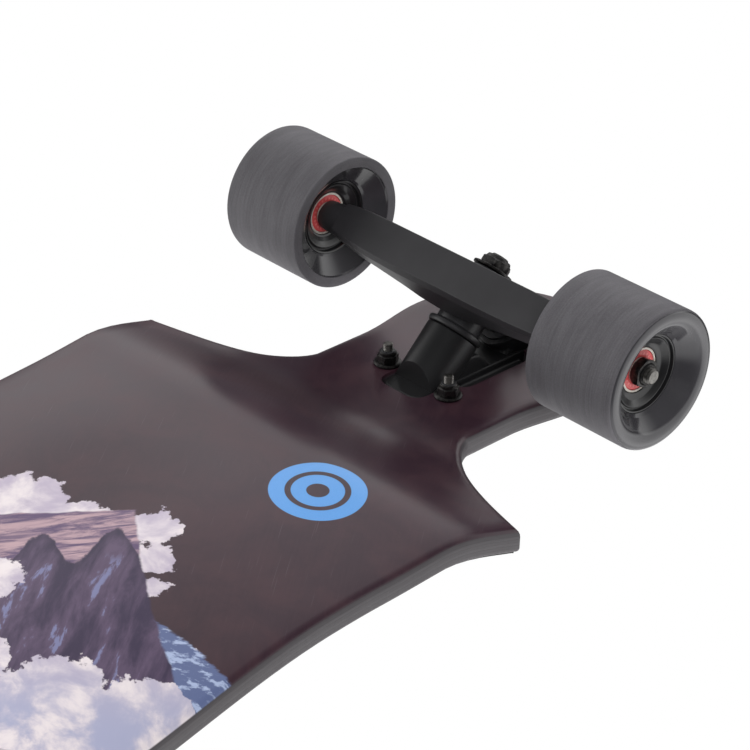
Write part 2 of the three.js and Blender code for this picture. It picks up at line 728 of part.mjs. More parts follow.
function addTruck(end, sign) {
  const truck = new THREE.Group();
  truck.position.set(0, sign * halfBase, axleHeight);
  truck.rotation.z = sign < 0 ? Math.PI : 0;
  board.add(truck);
  const steering = new THREE.Group();
  steering.rotation.x = tilt;
  truck.add(steering);

  const flat = (name, geometry, ...look) => truck.add(named(`${end}_${name}`, geometry, ...look));
  const leaning = (name, geometry, ...look) => steering.add(named(`${end}_${name}`, geometry, ...look));
  flat('baseplate', makeBaseplate(), BLACK, 0.5, 0.4);
  flat('axle', makeAxle(), STEEL, 0.3, 1);
  leaning('pivot_cup', makePivotCup(), 0x1e1e20, 0.8);
  leaning('hanger', makeHanger(), BLACK, 0.4, 0.5);
  leaning('kingpin', makeKingpin(), 0x3c3d40, 0.35, 1);
  leaning('washer_board', kingpinRing(14, 13.4, boardWasherLow, boardWasherHigh, 24), 0x232427, 0.4, 0.6);
  const boardBushing = bushing(bushingRadius, seatHigh + REST_GAP, boardWasherLow - REST_GAP);
  const roadBushing = bushing(bushingRadius - 2, roadBushLow, seatLow - REST_GAP);
  leaning('bushing_board', boardBushing, 0x26282b);
  leaning('bushing_road', roadBushing, 0x26282b);
  leaning('washer_road', kingpinRing(12, 12, roadWasherLow, roadBushLow - REST_GAP), 0x4a4b4e, 0.4, 0.8);
  leaning('kingpin_nut', makeKingpinNut(), 0x3c3d40, 0.35, 1);
  boltSites.forEach(([x, y], i) => {
    flat(`bolt_${i + 1}`, makeBolt(x, y), 0x2c2d30, 0.4, 0.9);
    flat(`lock_nut_${i + 1}`, makeLockNut(x, y), 0x303134, 0.4, 0.9);
  });

  for (const side of ['left', 'right']) {
    // The board's right is +X; the front truck is turned half round.
    const wheel = new THREE.Group();
    wheel.rotation.z = (side === 'right') === (sign > 0) ? 0 : Math.PI;
    truck.add(wheel);
    const turning = (name, geometry, ...look) => {
      wheel.add(named(`${end}_${side}_${name}`, geometry, ...look));
    };
    turning('tyre', makeTyre(), 0x3a3a3c, 0.7);
    turning('core', makeCore(), 0x0d0d0f, 0.2);
    turning('bearing_in', makeBearing(innerBearingAt), 0x9c1f2e, 0.4, 0.3);
    turning('bearing_out', makeBearing(outerBearingAt), 0x9c1f2e, 0.4, 0.3);
    turning('axle_nut', makeAxleNut(), 0x1c1c1f, 0.35, 0.9);
  }
}

addTruck('front', -1);
addTruck('rear', 1);

export default board;
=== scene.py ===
"""Drop-through longboard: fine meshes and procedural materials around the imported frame.

Sizes are in millimetres and become metres where a mesh is made. Truck pieces are built in the
truck's own frame: origin on the axle, +Y to the near tip of the board, +Z up.
"""

import math

import bmesh
import bpy
import numpy as np
from mathutils import Matrix, Vector


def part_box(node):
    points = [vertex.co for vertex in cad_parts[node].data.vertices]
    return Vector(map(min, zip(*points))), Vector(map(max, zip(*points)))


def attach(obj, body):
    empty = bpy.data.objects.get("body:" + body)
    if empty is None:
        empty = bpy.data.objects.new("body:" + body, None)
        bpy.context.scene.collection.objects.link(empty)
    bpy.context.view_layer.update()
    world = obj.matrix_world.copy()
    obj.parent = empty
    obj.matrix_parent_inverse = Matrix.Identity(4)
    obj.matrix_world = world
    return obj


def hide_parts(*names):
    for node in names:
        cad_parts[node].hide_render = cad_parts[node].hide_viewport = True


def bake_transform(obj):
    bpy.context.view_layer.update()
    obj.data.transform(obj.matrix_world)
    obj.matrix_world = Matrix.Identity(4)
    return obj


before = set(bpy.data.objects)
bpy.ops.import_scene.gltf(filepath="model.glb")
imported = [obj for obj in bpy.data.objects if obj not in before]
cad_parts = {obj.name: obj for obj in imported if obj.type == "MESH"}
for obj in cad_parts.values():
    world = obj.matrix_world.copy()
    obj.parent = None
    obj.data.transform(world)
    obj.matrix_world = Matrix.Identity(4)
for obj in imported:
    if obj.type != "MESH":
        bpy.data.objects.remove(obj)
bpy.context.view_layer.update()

MM = 0.001
SCENE = bpy.context.scene

# ---------- sizes shared with the frame ----------
deck_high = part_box("deck")[1] / MM
tyre_low, tyre_high = (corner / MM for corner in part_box("rear_right_tyre"))
HALF_LENGTH = deck_high.y
HALF_BASE = (tyre_low.y + tyre_high.y) / 2
AXLE_HEIGHT = (tyre_low.z + tyre_high.z) / 2
WHEEL_RADIUS = AXLE_HEIGHT
WHEEL_IN = tyre_low.x
WHEEL_OUT = tyre_high.x

BOARD_WIDTH = 253
WAIST_WIDTH = 238
NECK_WIDTH = 105
NOSE_WIDTH = 116
DECK_THICKNESS = 12
DROP = 18
CAMBER = 12
CONCAVE = 10
DEEP_CONCAVE = 18
FLAT_HALF = 28
EDGE_ROUND = 4
EDGE_EASE = 2.5
AXLE_TO_DECK = 46
DECK_UNDER = AXLE_HEIGHT + AXLE_TO_DECK
TILT = math.radians(45)
KINGPIN_OFFSET = 20
HANGER_HALF = WHEEL_IN + 12.8
AXLE_TIP = HANGER_HALF + 33.7
BEARING_IN = HANGER_HALF + 1
BEARING_OUT = BEARING_IN + 17
BEARING_WIDTH = 7
PLATE_LOW = AXLE_TO_DECK + DECK_THICKNESS + 0.3
PLATE_TOP = PLATE_LOW + 5
BOLT_SITES = [(-20.65, -24), (20.65, -24), (-20.65, 39.5), (20.65, 39.5)]
SLOT_INNER = -38.5
SLOT_OUTER = 46
SLOT_HALF = 13.8
WIDE_INNER = -15
WIDE_OUTER = 35
WIDE_HALF = 21.5
BOSS_END = -26.5

CORNER_AT = HALF_BASE - 84
NECK_AT = HALF_BASE - 42
NOSE_AT = HALF_BASE + 31
RAMP = (HALF_BASE - 60, HALF_BASE - 130)
BEND = (HALF_BASE - 50, HALF_BASE - 190)
ARCH = (HALF_BASE - 164, HALF_BASE - 349)

# Local X turned to local Z, and to local -Z.
X_UP = Matrix.Rotation(-math.pi / 2, 4, "Y")
X_DOWN = Matrix.Rotation(math.pi / 2, 4, "Y")


def shift(x, y, z):
    return Matrix.Translation((x, y, z))


# ---------- mesh making ----------
def fillet(corners, closed=True, steps=4):
    """Outline with rounded corners. A corner is (a, b) or (a, b, radius); gives an N x 2 array."""
    out = []
    count = len(corners)
    for i, corner in enumerate(corners):
        here = np.array(corner[:2], float)
        radius = corner[2] if len(corner) > 2 else 0
        if radius <= 0 or (not closed and i in (0, count - 1)):
            out.append(here)
            continue
        before = np.array(corners[i - 1][:2], float) - here
        after = np.array(corners[(i + 1) % count][:2], float) - here
        reach = min(np.linalg.norm(before), np.linalg.norm(after)) * 0.49
        before /= np.linalg.norm(before)
        after /= np.linalg.norm(after)
        half = math.acos(float(np.clip(before @ after, -1, 1))) / 2
        pull = min(radius / math.tan(half), reach)
        for s in np.linspace(0, 1, steps + 1):
            start, end = here + before * pull, here + after * pull
            out.append((1 - s) ** 2 * start + 2 * s * (1 - s) * here + s * s * end)
    return np.array(out)


def spin(loop, sides=64, closed=True, shape=None):
    """Surface turned about local X from [x, radius] points, as (points, faces)."""
    loop = np.asarray(loop, float)
    count = len(loop)
    angle = np.repeat(np.arange(sides) * 2 * math.pi / sides, count)
    x = np.tile(loop[:, 0], sides)
    r = np.tile(loop[:, 1], sides)
    if shape is not None:
        x, r = shape(x, r, angle)
    points = np.stack([x, r * np.sin(angle), -r * np.cos(angle)], 1)
    faces = []
    for i in range(sides):
        near, far = i * count, (i + 1) % sides * count
        for k in range(count if closed else count - 1):
            n = (k + 1) % count
            faces.append((near + k, far + k, far + n, near + n))
    return points, faces


def hexagon(apothem, low, high):
    """Shape for spin: flats of a hexagon between two heights."""

    def shape(x, r, angle):
        flat = apothem / np.cos(np.mod(angle, math.pi / 3) - math.pi / 6)
        return x, np.where((x > low) & (x < high), np.minimum(r, flat), r)

    return shape


def thread(pitch, depth, low, high):
    """Shape for spin: a helical thread between two heights."""

    def shape(x, r, angle):
        phase = np.mod(x / pitch - angle / (2 * math.pi), 1)
        groove = depth * np.abs(2 * phase - 1)
        return x, np.where((x > low) & (x < high), r - groove, r)

    return shape


def prism(outline, low, high, axes="xyz"):
    """Outline in the first two axes, pushed along the third."""
    outline = np.asarray(outline, float)
    count = len(outline)
    flat = [np.column_stack([outline, np.full(count, h)]) for h in (low, high)]
    points = np.vstack(flat)[:, ["xyz".index(c) for c in inverse(axes)]]
    faces = [tuple(range(count)), tuple(range(count, 2 * count))]
    for i in range(count):
        n = (i + 1) % count
        faces.append((i, n, count + n, count + i))
    return points, faces


def inverse(axes):
    """Where x, y and z are found in the given order, as letters."""
    return ["xyz"[axes.index(c)] for c in "xyz"]


def loft(sections):
    """Skin over closed rings of equal length, with capped ends."""
    count = len(sections[0])
    points = np.vstack(sections)
    faces = [tuple(range(count)), tuple(range(len(points) - count, len(points)))]
    for j in range(len(sections) - 1):
        for i in range(count):
            n = (i + 1) % count
            a, b = j * count, (j + 1) * count
            faces.append((a + i, a + n, b + n, b + i))
    return points, faces


def moved(part, matrix):
    points, faces = part
    turned = np.array(matrix.to_3x3()) @ points.T
    return (turned.T + np.array(matrix.translation), faces)


def build(name, parts, look=None, sharp=32):
    """One mesh from parts of (points, faces) or (points, faces, material numbers)."""
    points, faces, numbers = [], [], []
    for part in parts:
        base = len(points)
        points.extend(part[0] * MM)
        faces.extend(tuple(base + v for v in face) for face in part[1])
        numbers.extend(part[2] if len(part) > 2 else [0] * len(part[1]))
    mesh = bpy.data.meshes.new(name)
    mesh.from_pydata([tuple(p) for p in points], [], faces)
    mesh.polygons.foreach_set("material_index", numbers)
    work = bmesh.new()
    work.from_mesh(mesh)
    bmesh.ops.remove_doubles(work, verts=work.verts, dist=1e-7)
    bmesh.ops.recalc_face_normals(work, faces=work.faces)
    work.to_mesh(mesh)
    work.free()
    return finished(mesh, look, sharp)


def finished(mesh, look, sharp=32):
    if mesh.materials:
        mesh.materials.clear()
    for material in look if isinstance(look, (list, tuple)) else [look] if look else []:
        mesh.materials.append(material)
    mesh.shade_smooth()
    mesh.set_sharp_from_angle(angle=math.radians(sharp))
    return mesh


def modified(mesh, add_modifiers):
    """The mesh after the modifiers that the function adds."""
    holder = bpy.data.objects.new("holder", mesh)
    SCENE.collection.objects.link(holder)
    add_modifiers(holder)
    bpy.context.view_layer.update()
    result = bpy.data.meshes.new_from_object(holder.evaluated_get(bpy.context.evaluated_depsgraph_get()))
    bpy.data.objects.remove(holder)
    return result


def cast(name, parts, voxel=0.8, relax=3):
    """Parts melted into one skin with soft inside corners."""

    def add(holder):
        remesh = holder.modifiers.new("skin", "REMESH")
        remesh.mode = "VOXEL"
        remesh.voxel_size = voxel * MM
        smooth = holder.modifiers.new("relax", "SMOOTH")
        smooth.factor = 0.5
        smooth.iterations = relax

    return modified(build(name, parts), add)


def cut(mesh, tools):
    """The mesh less each tool, one after another."""
    for tool in tools:
        cutter = bpy.data.objects.new("cutter", build("cutter", [tool]))
        SCENE.collection.objects.link(cutter)

        def add(holder):
            boolean = holder.modifiers.new("cut", "BOOLEAN")
            boolean.operation = "DIFFERENCE"
            boolean.solver = "MANIFOLD"
            boolean.object = cutter

        mesh = modified(mesh, add)
        bpy.data.objects.remove(cutter)
    return mesh


def place(name, mesh, matrix, body, slot, *replaced, across=None):
    """Add a piece that rides on a body; given across, the piece is baked where it stands and left without a body."""
    piece = bpy.data.objects.new(name, mesh.copy())
    SCENE.collection.objects.link(piece)
    piece.matrix_world = matrix
    if across:
        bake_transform(piece)
    else:
        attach(piece, body)
    if replaced:
        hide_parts(*replaced)
    return piece


# ---------- node materials ----------
class Look:
    """A node material written as arithmetic on sockets. Places are in millimetres."""

    def __init__(self, name, **fixed):
        self.material = bpy.data.materials.new(name)
        self.material.use_nodes = True
        self.tree = self.material.node_tree
        self.bsdf = self.tree.nodes["Principled BSDF"]
        for socket, value in fixed.items():
            self.bsdf.inputs[socket.replace("_", " ")].default_value = value
        coordinates = self.tree.nodes.new("ShaderNodeTexCoord")
        self.at = self.node("ShaderNodeVectorMath", "SCALE", coordinates.outputs["Object"])
        self.at.node.inputs["Scale"].default_value = 1 / MM
        self.x, self.y, self.z = self.split(self.at)

    def feed(self, socket, value):
        if isinstance(value, bpy.types.NodeSocket):
            self.tree.links.new(value, socket)
        elif isinstance(value, tuple) and len(value) == 3 and socket.type == "RGBA":
            socket.default_value = (*value, 1)
        else:
            socket.default_value = value

    def node(self, kind, operation=None, *values):
        made = self.tree.nodes.new(kind)
        if operation:
            made.operation = operation
        for socket, value in zip(made.inputs, values):
            self.feed(socket, value)
        return made.outputs[0]

    def split(self, vector):
        return self.node("ShaderNodeSeparateXYZ", None, vector).node.outputs[:3]

    def math(self, operation, *values):
        return self.node("ShaderNodeMath", operation, *values)

    def add(self, *values):
        total = values[0]
        for value in values[1:]:
            total = self.math("ADD", total, value)
        return total

    def mul(self, a, b):
        return self.math("MULTIPLY", a, b)

    def sub(self, a, b):
        return self.math("SUBTRACT", a, b)

    def low(self, a, b):
        return self.math("MINIMUM", a, b)

    def high(self, a, b):
        return self.math("MAXIMUM", a, b)

    def vector(self, x, y, z):
        return self.node("ShaderNodeCombineXYZ", None, x, y, z)

    def length(self, a, b):
        return self.math("SQRT", self.add(self.mul(a, a), self.mul(b, b)))

    def step(self, start, end, value):
        """0 before start, 1 after end, smooth between."""
        made = self.tree.nodes.new("ShaderNodeMapRange")
        made.interpolation_type = "SMOOTHSTEP"
        if start > end:
            return self.sub(1.0, self.step(end, start, value))
        self.feed(made.inputs["Value"], value)
        made.inputs["From Min"].default_value = start
        made.inputs["From Max"].default_value = end
        return made.outputs["Result"]

    def span(self, low, high, value):
        """A 0 to 1 value stretched to low..high."""
        return self.add(self.mul(value, high - low), low)

    def noise(self, scale, detail=3, rough=0.55, at=None, warp=0.0):
        made = self.tree.nodes.new("ShaderNodeTexNoise")
        self.feed(made.inputs["Vector"], at or self.at)
        values = {"Scale": scale, "Detail": detail, "Roughness": rough, "Distortion": warp}
        for socket, value in values.items():
            made.inputs[socket].default_value = value
        return made.outputs[0]

    def mix(self, factor, a, b):
        made = self.tree.nodes.new("ShaderNodeMix")
        made.data_type = "RGBA"
        self.feed(made.inputs["Factor"], factor)
        self.feed(made.inputs[6], a)
        self.feed(made.inputs[7], b)
        return made.outputs[2]

    def bump(self, height, distance, strength=1.0, below=None):
        made = self.tree.nodes.new("ShaderNodeBump")
        made.inputs["Strength"].default_value = strength
        made.inputs["Distance"].default_value = distance * MM
        self.feed(made.inputs["Height"], height)
        if below:
            self.feed(made.inputs["Normal"], below)
        return made.outputs[0]

    def done(self, color=None, roughness=None, normal=None):
        for socket, value in (("Base Color", color), ("Roughness", roughness), ("Normal", normal)):
            if value is not None:
                self.feed(self.bsdf.inputs[socket], value)
        return self.material


def tread_look():
    """Cast urethane with a lathe-cut running face: fine rings round the wheel."""
    s = Look("urethane_cut")
    radius = s.length(s.y, s.z)
    rings = s.noise(1, 4, 0.65, s.vector(s.mul(s.x, 1.9), s.mul(radius, 1.6), s.mul(s.y, 0.09)))
    streaks = s.noise(1, 3, 0.6, s.vector(s.mul(s.x, 0.25), s.mul(s.y, 0.05), s.mul(s.z, 0.05)))
    mottle = s.noise(1.5, 5, 0.85)
    tone = s.add(s.mul(rings, 0.35), s.mul(streaks, 0.25), s.mul(mottle, 0.5))
    color = s.mix(s.step(0.32, 0.78, tone), (0.058, 0.055, 0.061), (0.128, 0.123, 0.134))
    rough = s.span(0.55, 0.75, rings)
    normal = s.bump(s.add(rings, s.mul(mottle, 0.6)), 0.12, 0.6)
    return s.done(color, rough, normal)


def bowl_look():
    """Moulded urethane left glossy inside the wheel."""
    s = Look("urethane_gloss", Coat_Weight=0.6, Coat_Roughness=0.05)
    cloud = s.noise(0.05, 3)
    grain = s.noise(1.2, 4, 0.7)
    color = s.mix(cloud, (0.030, 0.029, 0.033), (0.052, 0.050, 0.056))
    return s.done(color, s.span(0.10, 0.20, grain), s.bump(cloud, 0.3, 0.25))


def core_look():
    s = Look("moulded_nylon", Coat_Weight=0.5, Coat_Roughness=0.07)
    radius = s.length(s.y, s.z)
    rings = s.noise(1, 2, 0.5, s.vector(s.mul(radius, 1.3), s.mul(s.x, 1.3), 0.0))
    color = s.mix(rings, (0.006, 0.006, 0.007), (0.013, 0.013, 0.014))
    return s.done(color, s.span(0.24, 0.38, rings), s.bump(rings, 0.1, 0.4))


def shield_look():
    """Red pressed bearing shield with a faint stamped pattern of dashes."""
    s = Look("red_shield", Coat_Weight=0.3, Coat_Roughness=0.15)
    radius = s.length(s.y, s.z)
    turn = s.math("ARCTAN2", s.y, s.z)
    dashes = s.step(0.1, 0.5, s.math("SINE", s.mul(turn, 22.0)))
    band = s.low(s.step(7.2, 7.35, radius), s.step(8.5, 8.35, radius))
    stamp = s.mul(dashes, band)
    grain = s.noise(1.6, 3)
    color = s.mix(s.add(s.mul(stamp, 0.45), s.mul(grain, 0.3)), (0.62, 0.055, 0.060), (0.92, 0.26, 0.25))
    return s.done(color, s.span(0.3, 0.45, grain), s.bump(stamp, 0.12, 0.6))


def metal_look(name, dark, light, rough, ring_scale=2.0, metallic=1.0):
    """Turned metal: fine rings about the local X axis and a little tarnish."""
    s = Look(name, Metallic=metallic)
    radius = s.length(s.y, s.z)
    rings = s.noise(1, 3, 0.6, s.vector(s.mul(s.x, ring_scale), s.mul(radius, ring_scale), 0.0))
    tarnish = s.noise(0.5, 4, 0.65)
    color = s.mix(s.add(s.mul(rings, 0.35), s.mul(s.step(0.35, 0.7, tarnish), 0.65)), dark, light)
    return s.done(color, s.span(rough, rough + 0.18, tarnish), s.bump(rings, 0.04, 0.5))


def coat_look(name, tone=(0.016, 0.0155, 0.017), rough=0.36):
    """Satin powder coat on cast aluminium: orange peel, faint clouding and rubbed spots."""
    s = Look(name, Specular_IOR_Level=0.55)
    peel = s.noise(1.1, 3, 0.55)
    fine = s.noise(4.0, 2, 0.5)
    cloud = s.noise(0.045, 3)
    rub = s.step(0.62, 0.8, s.noise(0.35, 5, 0.7))
    light = tuple(3.2 * c for c in tone)
    color = s.mix(s.add(s.mul(cloud, 0.5), s.mul(rub, 0.35)), tone, light)
    normal = s.bump(s.add(peel, s.mul(fine, 0.3)), 0.05, 0.55)
    return s.done(color, s.add(s.span(rough, rough + 0.12, cloud), s.mul(rub, -0.06)), normal)


def bushing_look():
    s = Look("bushing_urethane", Coat_Weight=0.15)
    flow = s.noise(0.2, 4, 0.6, warp=0.6)
    color = s.mix(flow, (0.016, 0.016, 0.018), (0.034, 0.034, 0.037))
    return s.done(color, s.span(0.32, 0.48, flow), s.bump(flow, 0.1, 0.3))


def grip_look():
    """Black silicon-carbide grit: dark, with pinpoint grains lightened in the colour as painted glints (and made
    glossier), and lightly scuffed patches.
    """
    s = Look("grip_grit")
    grit = s.noise(2.6, 2, 0.8)
    clump = s.noise(0.6, 3, 0.7)
    scuff = s.step(0.55, 0.78, s.noise(0.018, 5, 0.65))
    # Painted glints: random grains get a lighter base colour standing in for the sparkle of light off the grit; they
    # are also made less rough.
    painted_glint = s.step(0.66, 0.74, grit)
    base = s.mix(s.add(s.mul(clump, 0.6), s.mul(scuff, 0.5)), (0.008, 0.008, 0.009), (0.033, 0.032, 0.032))
    color = s.mix(s.mul(painted_glint, 0.6), base, (0.16, 0.16, 0.17))
    normal = s.bump(s.add(grit, s.mul(clump, 0.5)), 0.5, 0.9)
    return s.done(color, s.sub(0.92, s.mul(painted_glint, 0.45)), normal)


def surface_height(s):
    """Millimetres above the deck's lower surface, from the same curves as the deck itself."""
    v = s.math("ABSOLUTE", s.y)
    sink = s.mul(s.step(RAMP[0], RAMP[1], v), DROP)
    arch = s.step(ARCH[0], ARCH[1], v)
    bend = s.add(s.mul(s.step(BEND[0], BEND[1], v), CONCAVE), s.mul(arch, DEEP_CONCAVE - CONCAVE))
    past_flat = s.high(s.sub(s.math("ABSOLUTE", s.x), FLAT_HALF), 0.0)
    reach = s.math("DIVIDE", past_flat, WAIST_WIDTH / 2 - FLAT_HALF)
    under = s.add(s.sub(DECK_UNDER, sink), s.mul(arch, CAMBER), s.mul(bend, s.mul(reach, reach)))
    return s.sub(s.z, under)


# The printed landscape has its own axes on the deck: s to its right, t down its height.
ART_ORIGIN = (19, -197)
ART_RIGHT = (0.66, -0.75)
ART_DOWN = (0.727, 0.686)


def art_axes(s):
    dx, dy = s.sub(s.x, ART_ORIGIN[0]), s.sub(s.y, ART_ORIGIN[1])
    across = s.add(s.mul(dx, ART_RIGHT[0]), s.mul(dy, ART_RIGHT[1]))
    down = s.add(s.mul(dx, ART_DOWN[0]), s.mul(dy, ART_DOWN[1]))
    return across, down


def cloud_mask(s, across, down, puffs, billow):
    """Heaped cloud: round puffs whose edge is broken by the billow noise."""
    field = None
    for a, d, size in puffs:
        away = s.length(s.sub(across, a), s.mul(s.sub(down, d), 1.15))
        one = s.sub(size, away)
        field = one if field is None else s.high(field, one)
    return s.step(-0.6, 0.9, s.add(field, s.mul(s.sub(billow, 0.5), 26.0)))


def landscape(s, base):
    """Tableland above clouds over the base colour, laid out like the print in the photo."""
    across, down = art_axes(s)
    spot = s.vector(across, down, 0.0)
    billow = s.noise(0.11, 5, 0.62, spot)
    fluff = s.noise(0.045, 6, 0.6, spot, warp=0.4)
    cloud = s.mix(s.step(0.34, 0.66, fluff), (0.44, 0.38, 0.48), (0.76, 0.69, 0.70))
    shade = s.mul(s.step(80, 130, down), s.step(0.60, 0.40, fluff))
    cloud = s.mix(s.mul(shade, 0.8), cloud, (0.33, 0.36, 0.52))

    behind = [(-52, -8, 24), (-24, 8, 18), (8, 13, 13), (9, 34, 11), (10, 52, 7), (24, 92, 9)]
    picture = s.mix(cloud_mask(s, across, down, behind, billow), base, cloud)

    # Far blue ridge to the right of the cliff.
    crag = s.noise(0.09, 4, 0.6, s.vector(s.mul(across, 0.7), s.mul(down, 2.2), 3.0))
    ridge_top = s.add(68.0, s.mul(s.sub(across, 16.0), 0.9), s.mul(crag, 10.0))
    far = s.low(s.step(-1.0, 1.0, s.sub(down, ridge_top)), s.step(58, 56, across))
    far = s.low(far, s.step(3, 6, across))
    slant = s.add(across, s.mul(down, -0.6))
    snow = s.step(0.50, 0.60, s.noise(0.14, 5, 0.65, s.vector(slant, s.mul(down, 1.8), 5.0)))
    ridge = s.mix(snow, (0.10, 0.13, 0.26), (0.36, 0.43, 0.62))
    picture = s.mix(far, picture, ridge)

    # The tableland: banded rim, then shaded faces with pale gullies.
    rough_edge = s.mul(s.sub(s.noise(0.06, 4, 0.6, spot), 0.5), 7.0)
    right = s.add(1.5, s.mul(s.math("POWER", s.high(s.mul(down, 0.01), 0.0), 1.6), 19.0), rough_edge)
    rim = s.mul(s.sub(s.noise(0.05, 3, 0.5, s.vector(across, 0.0, 0.0)), 0.5), 5.0)
    table = s.low(s.step(0.8, -0.8, s.sub(across, right)), s.step(-0.6, 0.6, s.add(down, rim)))
    tilted = s.add(down, s.mul(across, 0.12))
    bands = s.noise(0.10, 6, 0.7, s.vector(s.mul(across, 0.35), s.mul(tilted, 2.2), 0.0), warp=0.5)
    strata = s.mix(s.step(0.40, 0.62, bands), (0.10, 0.062, 0.135), (0.46, 0.31, 0.34))
    slant = s.add(s.mul(across, 1.3), s.mul(down, 0.3))
    streak = s.noise(0.09, 6, 0.62, s.vector(slant, s.mul(down, 0.35), 7.0), warp=0.3)
    faces = s.mix(s.step(0.36, 0.66, streak), (0.030, 0.018, 0.050), (0.098, 0.064, 0.118))
    gully = s.low(s.step(0.60, 0.65, streak), s.step(28, 40, down))
    faces = s.mix(s.mul(gully, 0.6), faces, (0.22, 0.25, 0.45))
    notch = s.noise(0.06, 5, 0.62, s.vector(across, s.mul(down, 0.4), 11.0))
    valley = s.math("COSINE", s.mul(s.add(across, 22.0), 0.2))
    skirt = s.add(18.0, s.mul(valley, 11.0), s.mul(notch, 22.0))
    lower = s.step(-1.2, 1.2, s.sub(s.add(down, s.mul(bands, 8.0)), skirt))
    shadow = s.low(lower, s.step(9.0, 0.0, s.sub(s.add(down, s.mul(bands, 8.0)), skirt)))
    faces = s.mix(s.mul(shadow, 0.6), faces, (0.022, 0.014, 0.040))
    picture = s.mix(table, picture, s.mix(lower, strata, faces))

    # Clouds in front, then a warm ridge below them that runs on down the board.
    front = [(-60, 42, 17), (-62, 92, 18), (-26, 112, 24), (8, 120, 24), (32, 134, 18), (-56, 132, 30)]
    front += [(-10, 140, 30), (24, 146, 26), (52, 130, 16), (60, 160, 24)]
    picture = s.mix(cloud_mask(s, across, down, front, billow), picture, cloud)
    near_top = s.add(148.0, s.mul(across, 0.29), s.mul(crag, 9.0))
    near = s.step(-1.5, 1.5, s.sub(down, near_top))
    soil = s.mix(s.step(0.4, 0.62, bands), (0.10, 0.050, 0.075), (0.38, 0.21, 0.19))
    soil = s.mix(s.step(200, 300, down), soil, (0.05, 0.03, 0.05))
    picture = s.mix(near, picture, soil)
    fade = s.step(0.0, 1.0, s.add(s.mul(s.sub(down, 300.0), 0.012), s.mul(s.sub(fluff, 0.5), 2.4)))
    return s.mix(fade, picture, base)


BADGE_AT = (60.8, -265.4)
BADGE_RADIUS = 21.5


def badge(s, base):
    """Plain blue roundel with a ring and a dot, printed beside the landscape."""
    dx, dy = s.sub(s.x, BADGE_AT[0]), s.sub(s.y, BADGE_AT[1])
    radius = s.length(dx, dy)
    disc = s.step(BADGE_RADIUS + 0.15, BADGE_RADIUS - 0.15, radius)
    ring = s.low(s.step(11.6, 11.9, radius), s.step(14.6, 14.3, radius))
    dot = s.step(5.2, 4.9, radius)
    shown = s.mul(disc, s.sub(1.0, s.high(ring, dot)))
    tint = s.mix(s.noise(1.5, 2), (0.070, 0.265, 0.62), (0.095, 0.305, 0.68))
    return s.mix(shown, base, tint)


def deck_look():
    """Stained maple: printed and lacquered below, dark sealed plies round the edge."""
    s = Look("deck_lacquer", Coat_Weight=0.25, Coat_Roughness=0.22)
    height = surface_height(s)
    along = s.add(s.mul(s.x, 0.6), s.mul(s.y, 0.8))
    across = s.sub(s.mul(s.x, 0.8), s.mul(s.y, 0.6))
    grain = s.noise(1, 5, 0.62, s.vector(s.mul(along, 0.05), s.mul(across, 0.9), 0.0))
    cloud = s.noise(0.012, 4, 0.6)
    scratch = s.step(0.69, 0.76, s.noise(1, 2, 0.5, s.vector(s.mul(along, 0.03), s.mul(across, 1.7), 5.0)))
    blotch = s.step(0.35, 0.70, s.noise(0.035, 5, 0.68, warp=0.5))
    stain = s.mix(s.add(s.mul(grain, 0.5), s.mul(cloud, 0.4)), (0.015, 0.0055, 0.011), (0.050, 0.024, 0.036))
    stain = s.mix(s.mul(blotch, 0.5), stain, (0.062, 0.027, 0.034))
    stain = s.mix(s.mul(scratch, 0.5), stain, (0.11, 0.085, 0.10))
    printed = badge(s, landscape(s, stain))

    ply = s.math("FRACT", s.mul(height, 1 / 1.5))
    glue = s.step(0.10, 0.02, s.low(ply, s.sub(1.0, ply)))
    fibre = s.noise(1, 4, 0.65, s.vector(s.mul(s.x, 0.5), s.mul(s.y, 0.12), s.mul(height, 4.0)))
    parity = s.step(0.45, 0.55, s.math("FRACT", s.mul(height, 1 / 3.0)))
    wood = s.mix(fibre, (0.022, 0.018, 0.021), (0.072, 0.064, 0.071))
    wood = s.mix(s.mul(parity, 0.3), wood, (0.028, 0.023, 0.027))
    wood = s.mix(s.mul(glue, 0.7), wood, (0.008, 0.007, 0.008))
    edge = s.step(1.3, 1.8, height)
    color = s.mix(edge, printed, wood)
    rough = s.add(s.span(0.24, 0.36, grain), s.mul(blotch, 0.06), s.mul(edge, 0.1))
    normal = s.bump(s.add(grain, s.mul(scratch, 0.6), s.mul(s.mul(glue, edge), -1.2)), 0.06, 0.5)
    return s.done(color, rough, normal)


TREAD = tread_look()
BOWL = bowl_look()
CORE = core_look()
SHIELD = shield_look()
BUSHING = bushing_look()
GRIP = grip_look()
DECK = deck_look()
# Bearing races: turned steel, but coloured pale cream and mostly non-metallic, a painted reflection standing in for
# the bright shine of the steel rings.
RACE_PAINTED_REFLECTION = metal_look("race_steel_painted_reflection", (0.50, 0.46, 0.40), (0.80, 0.76, 0.70), 0.25, metallic=0.3)
STEEL = metal_look("axle_steel", (0.15, 0.145, 0.14), (0.40, 0.385, 0.36), 0.30)
DARK = metal_look("black_oxide", (0.030, 0.030, 0.032), (0.13, 0.125, 0.12), 0.30)
NYLON = bushing_look()
TRUCK = coat_look("powder_coat")
# Baseplate coat: the hanger's powder coat in a much darker tone, painted shade for the baseplate sitting in the
# deck's slot behind the hanger.
COAT_PAINTED_SHADE = coat_look("powder_coat_painted_shade", (0.006, 0.006, 0.0065), 0.33)
CAP = coat_look("formed_washer", (0.014, 0.014, 0.015), 0.30)


# ---------- deck and grip ----------
def smooth(t):
    u = np.clip(t, 0, 1)
    return u * u * (3 - 2 * u)


def arch(v):
    return smooth((ARCH[0] - v) / (ARCH[0] - ARCH[1]))


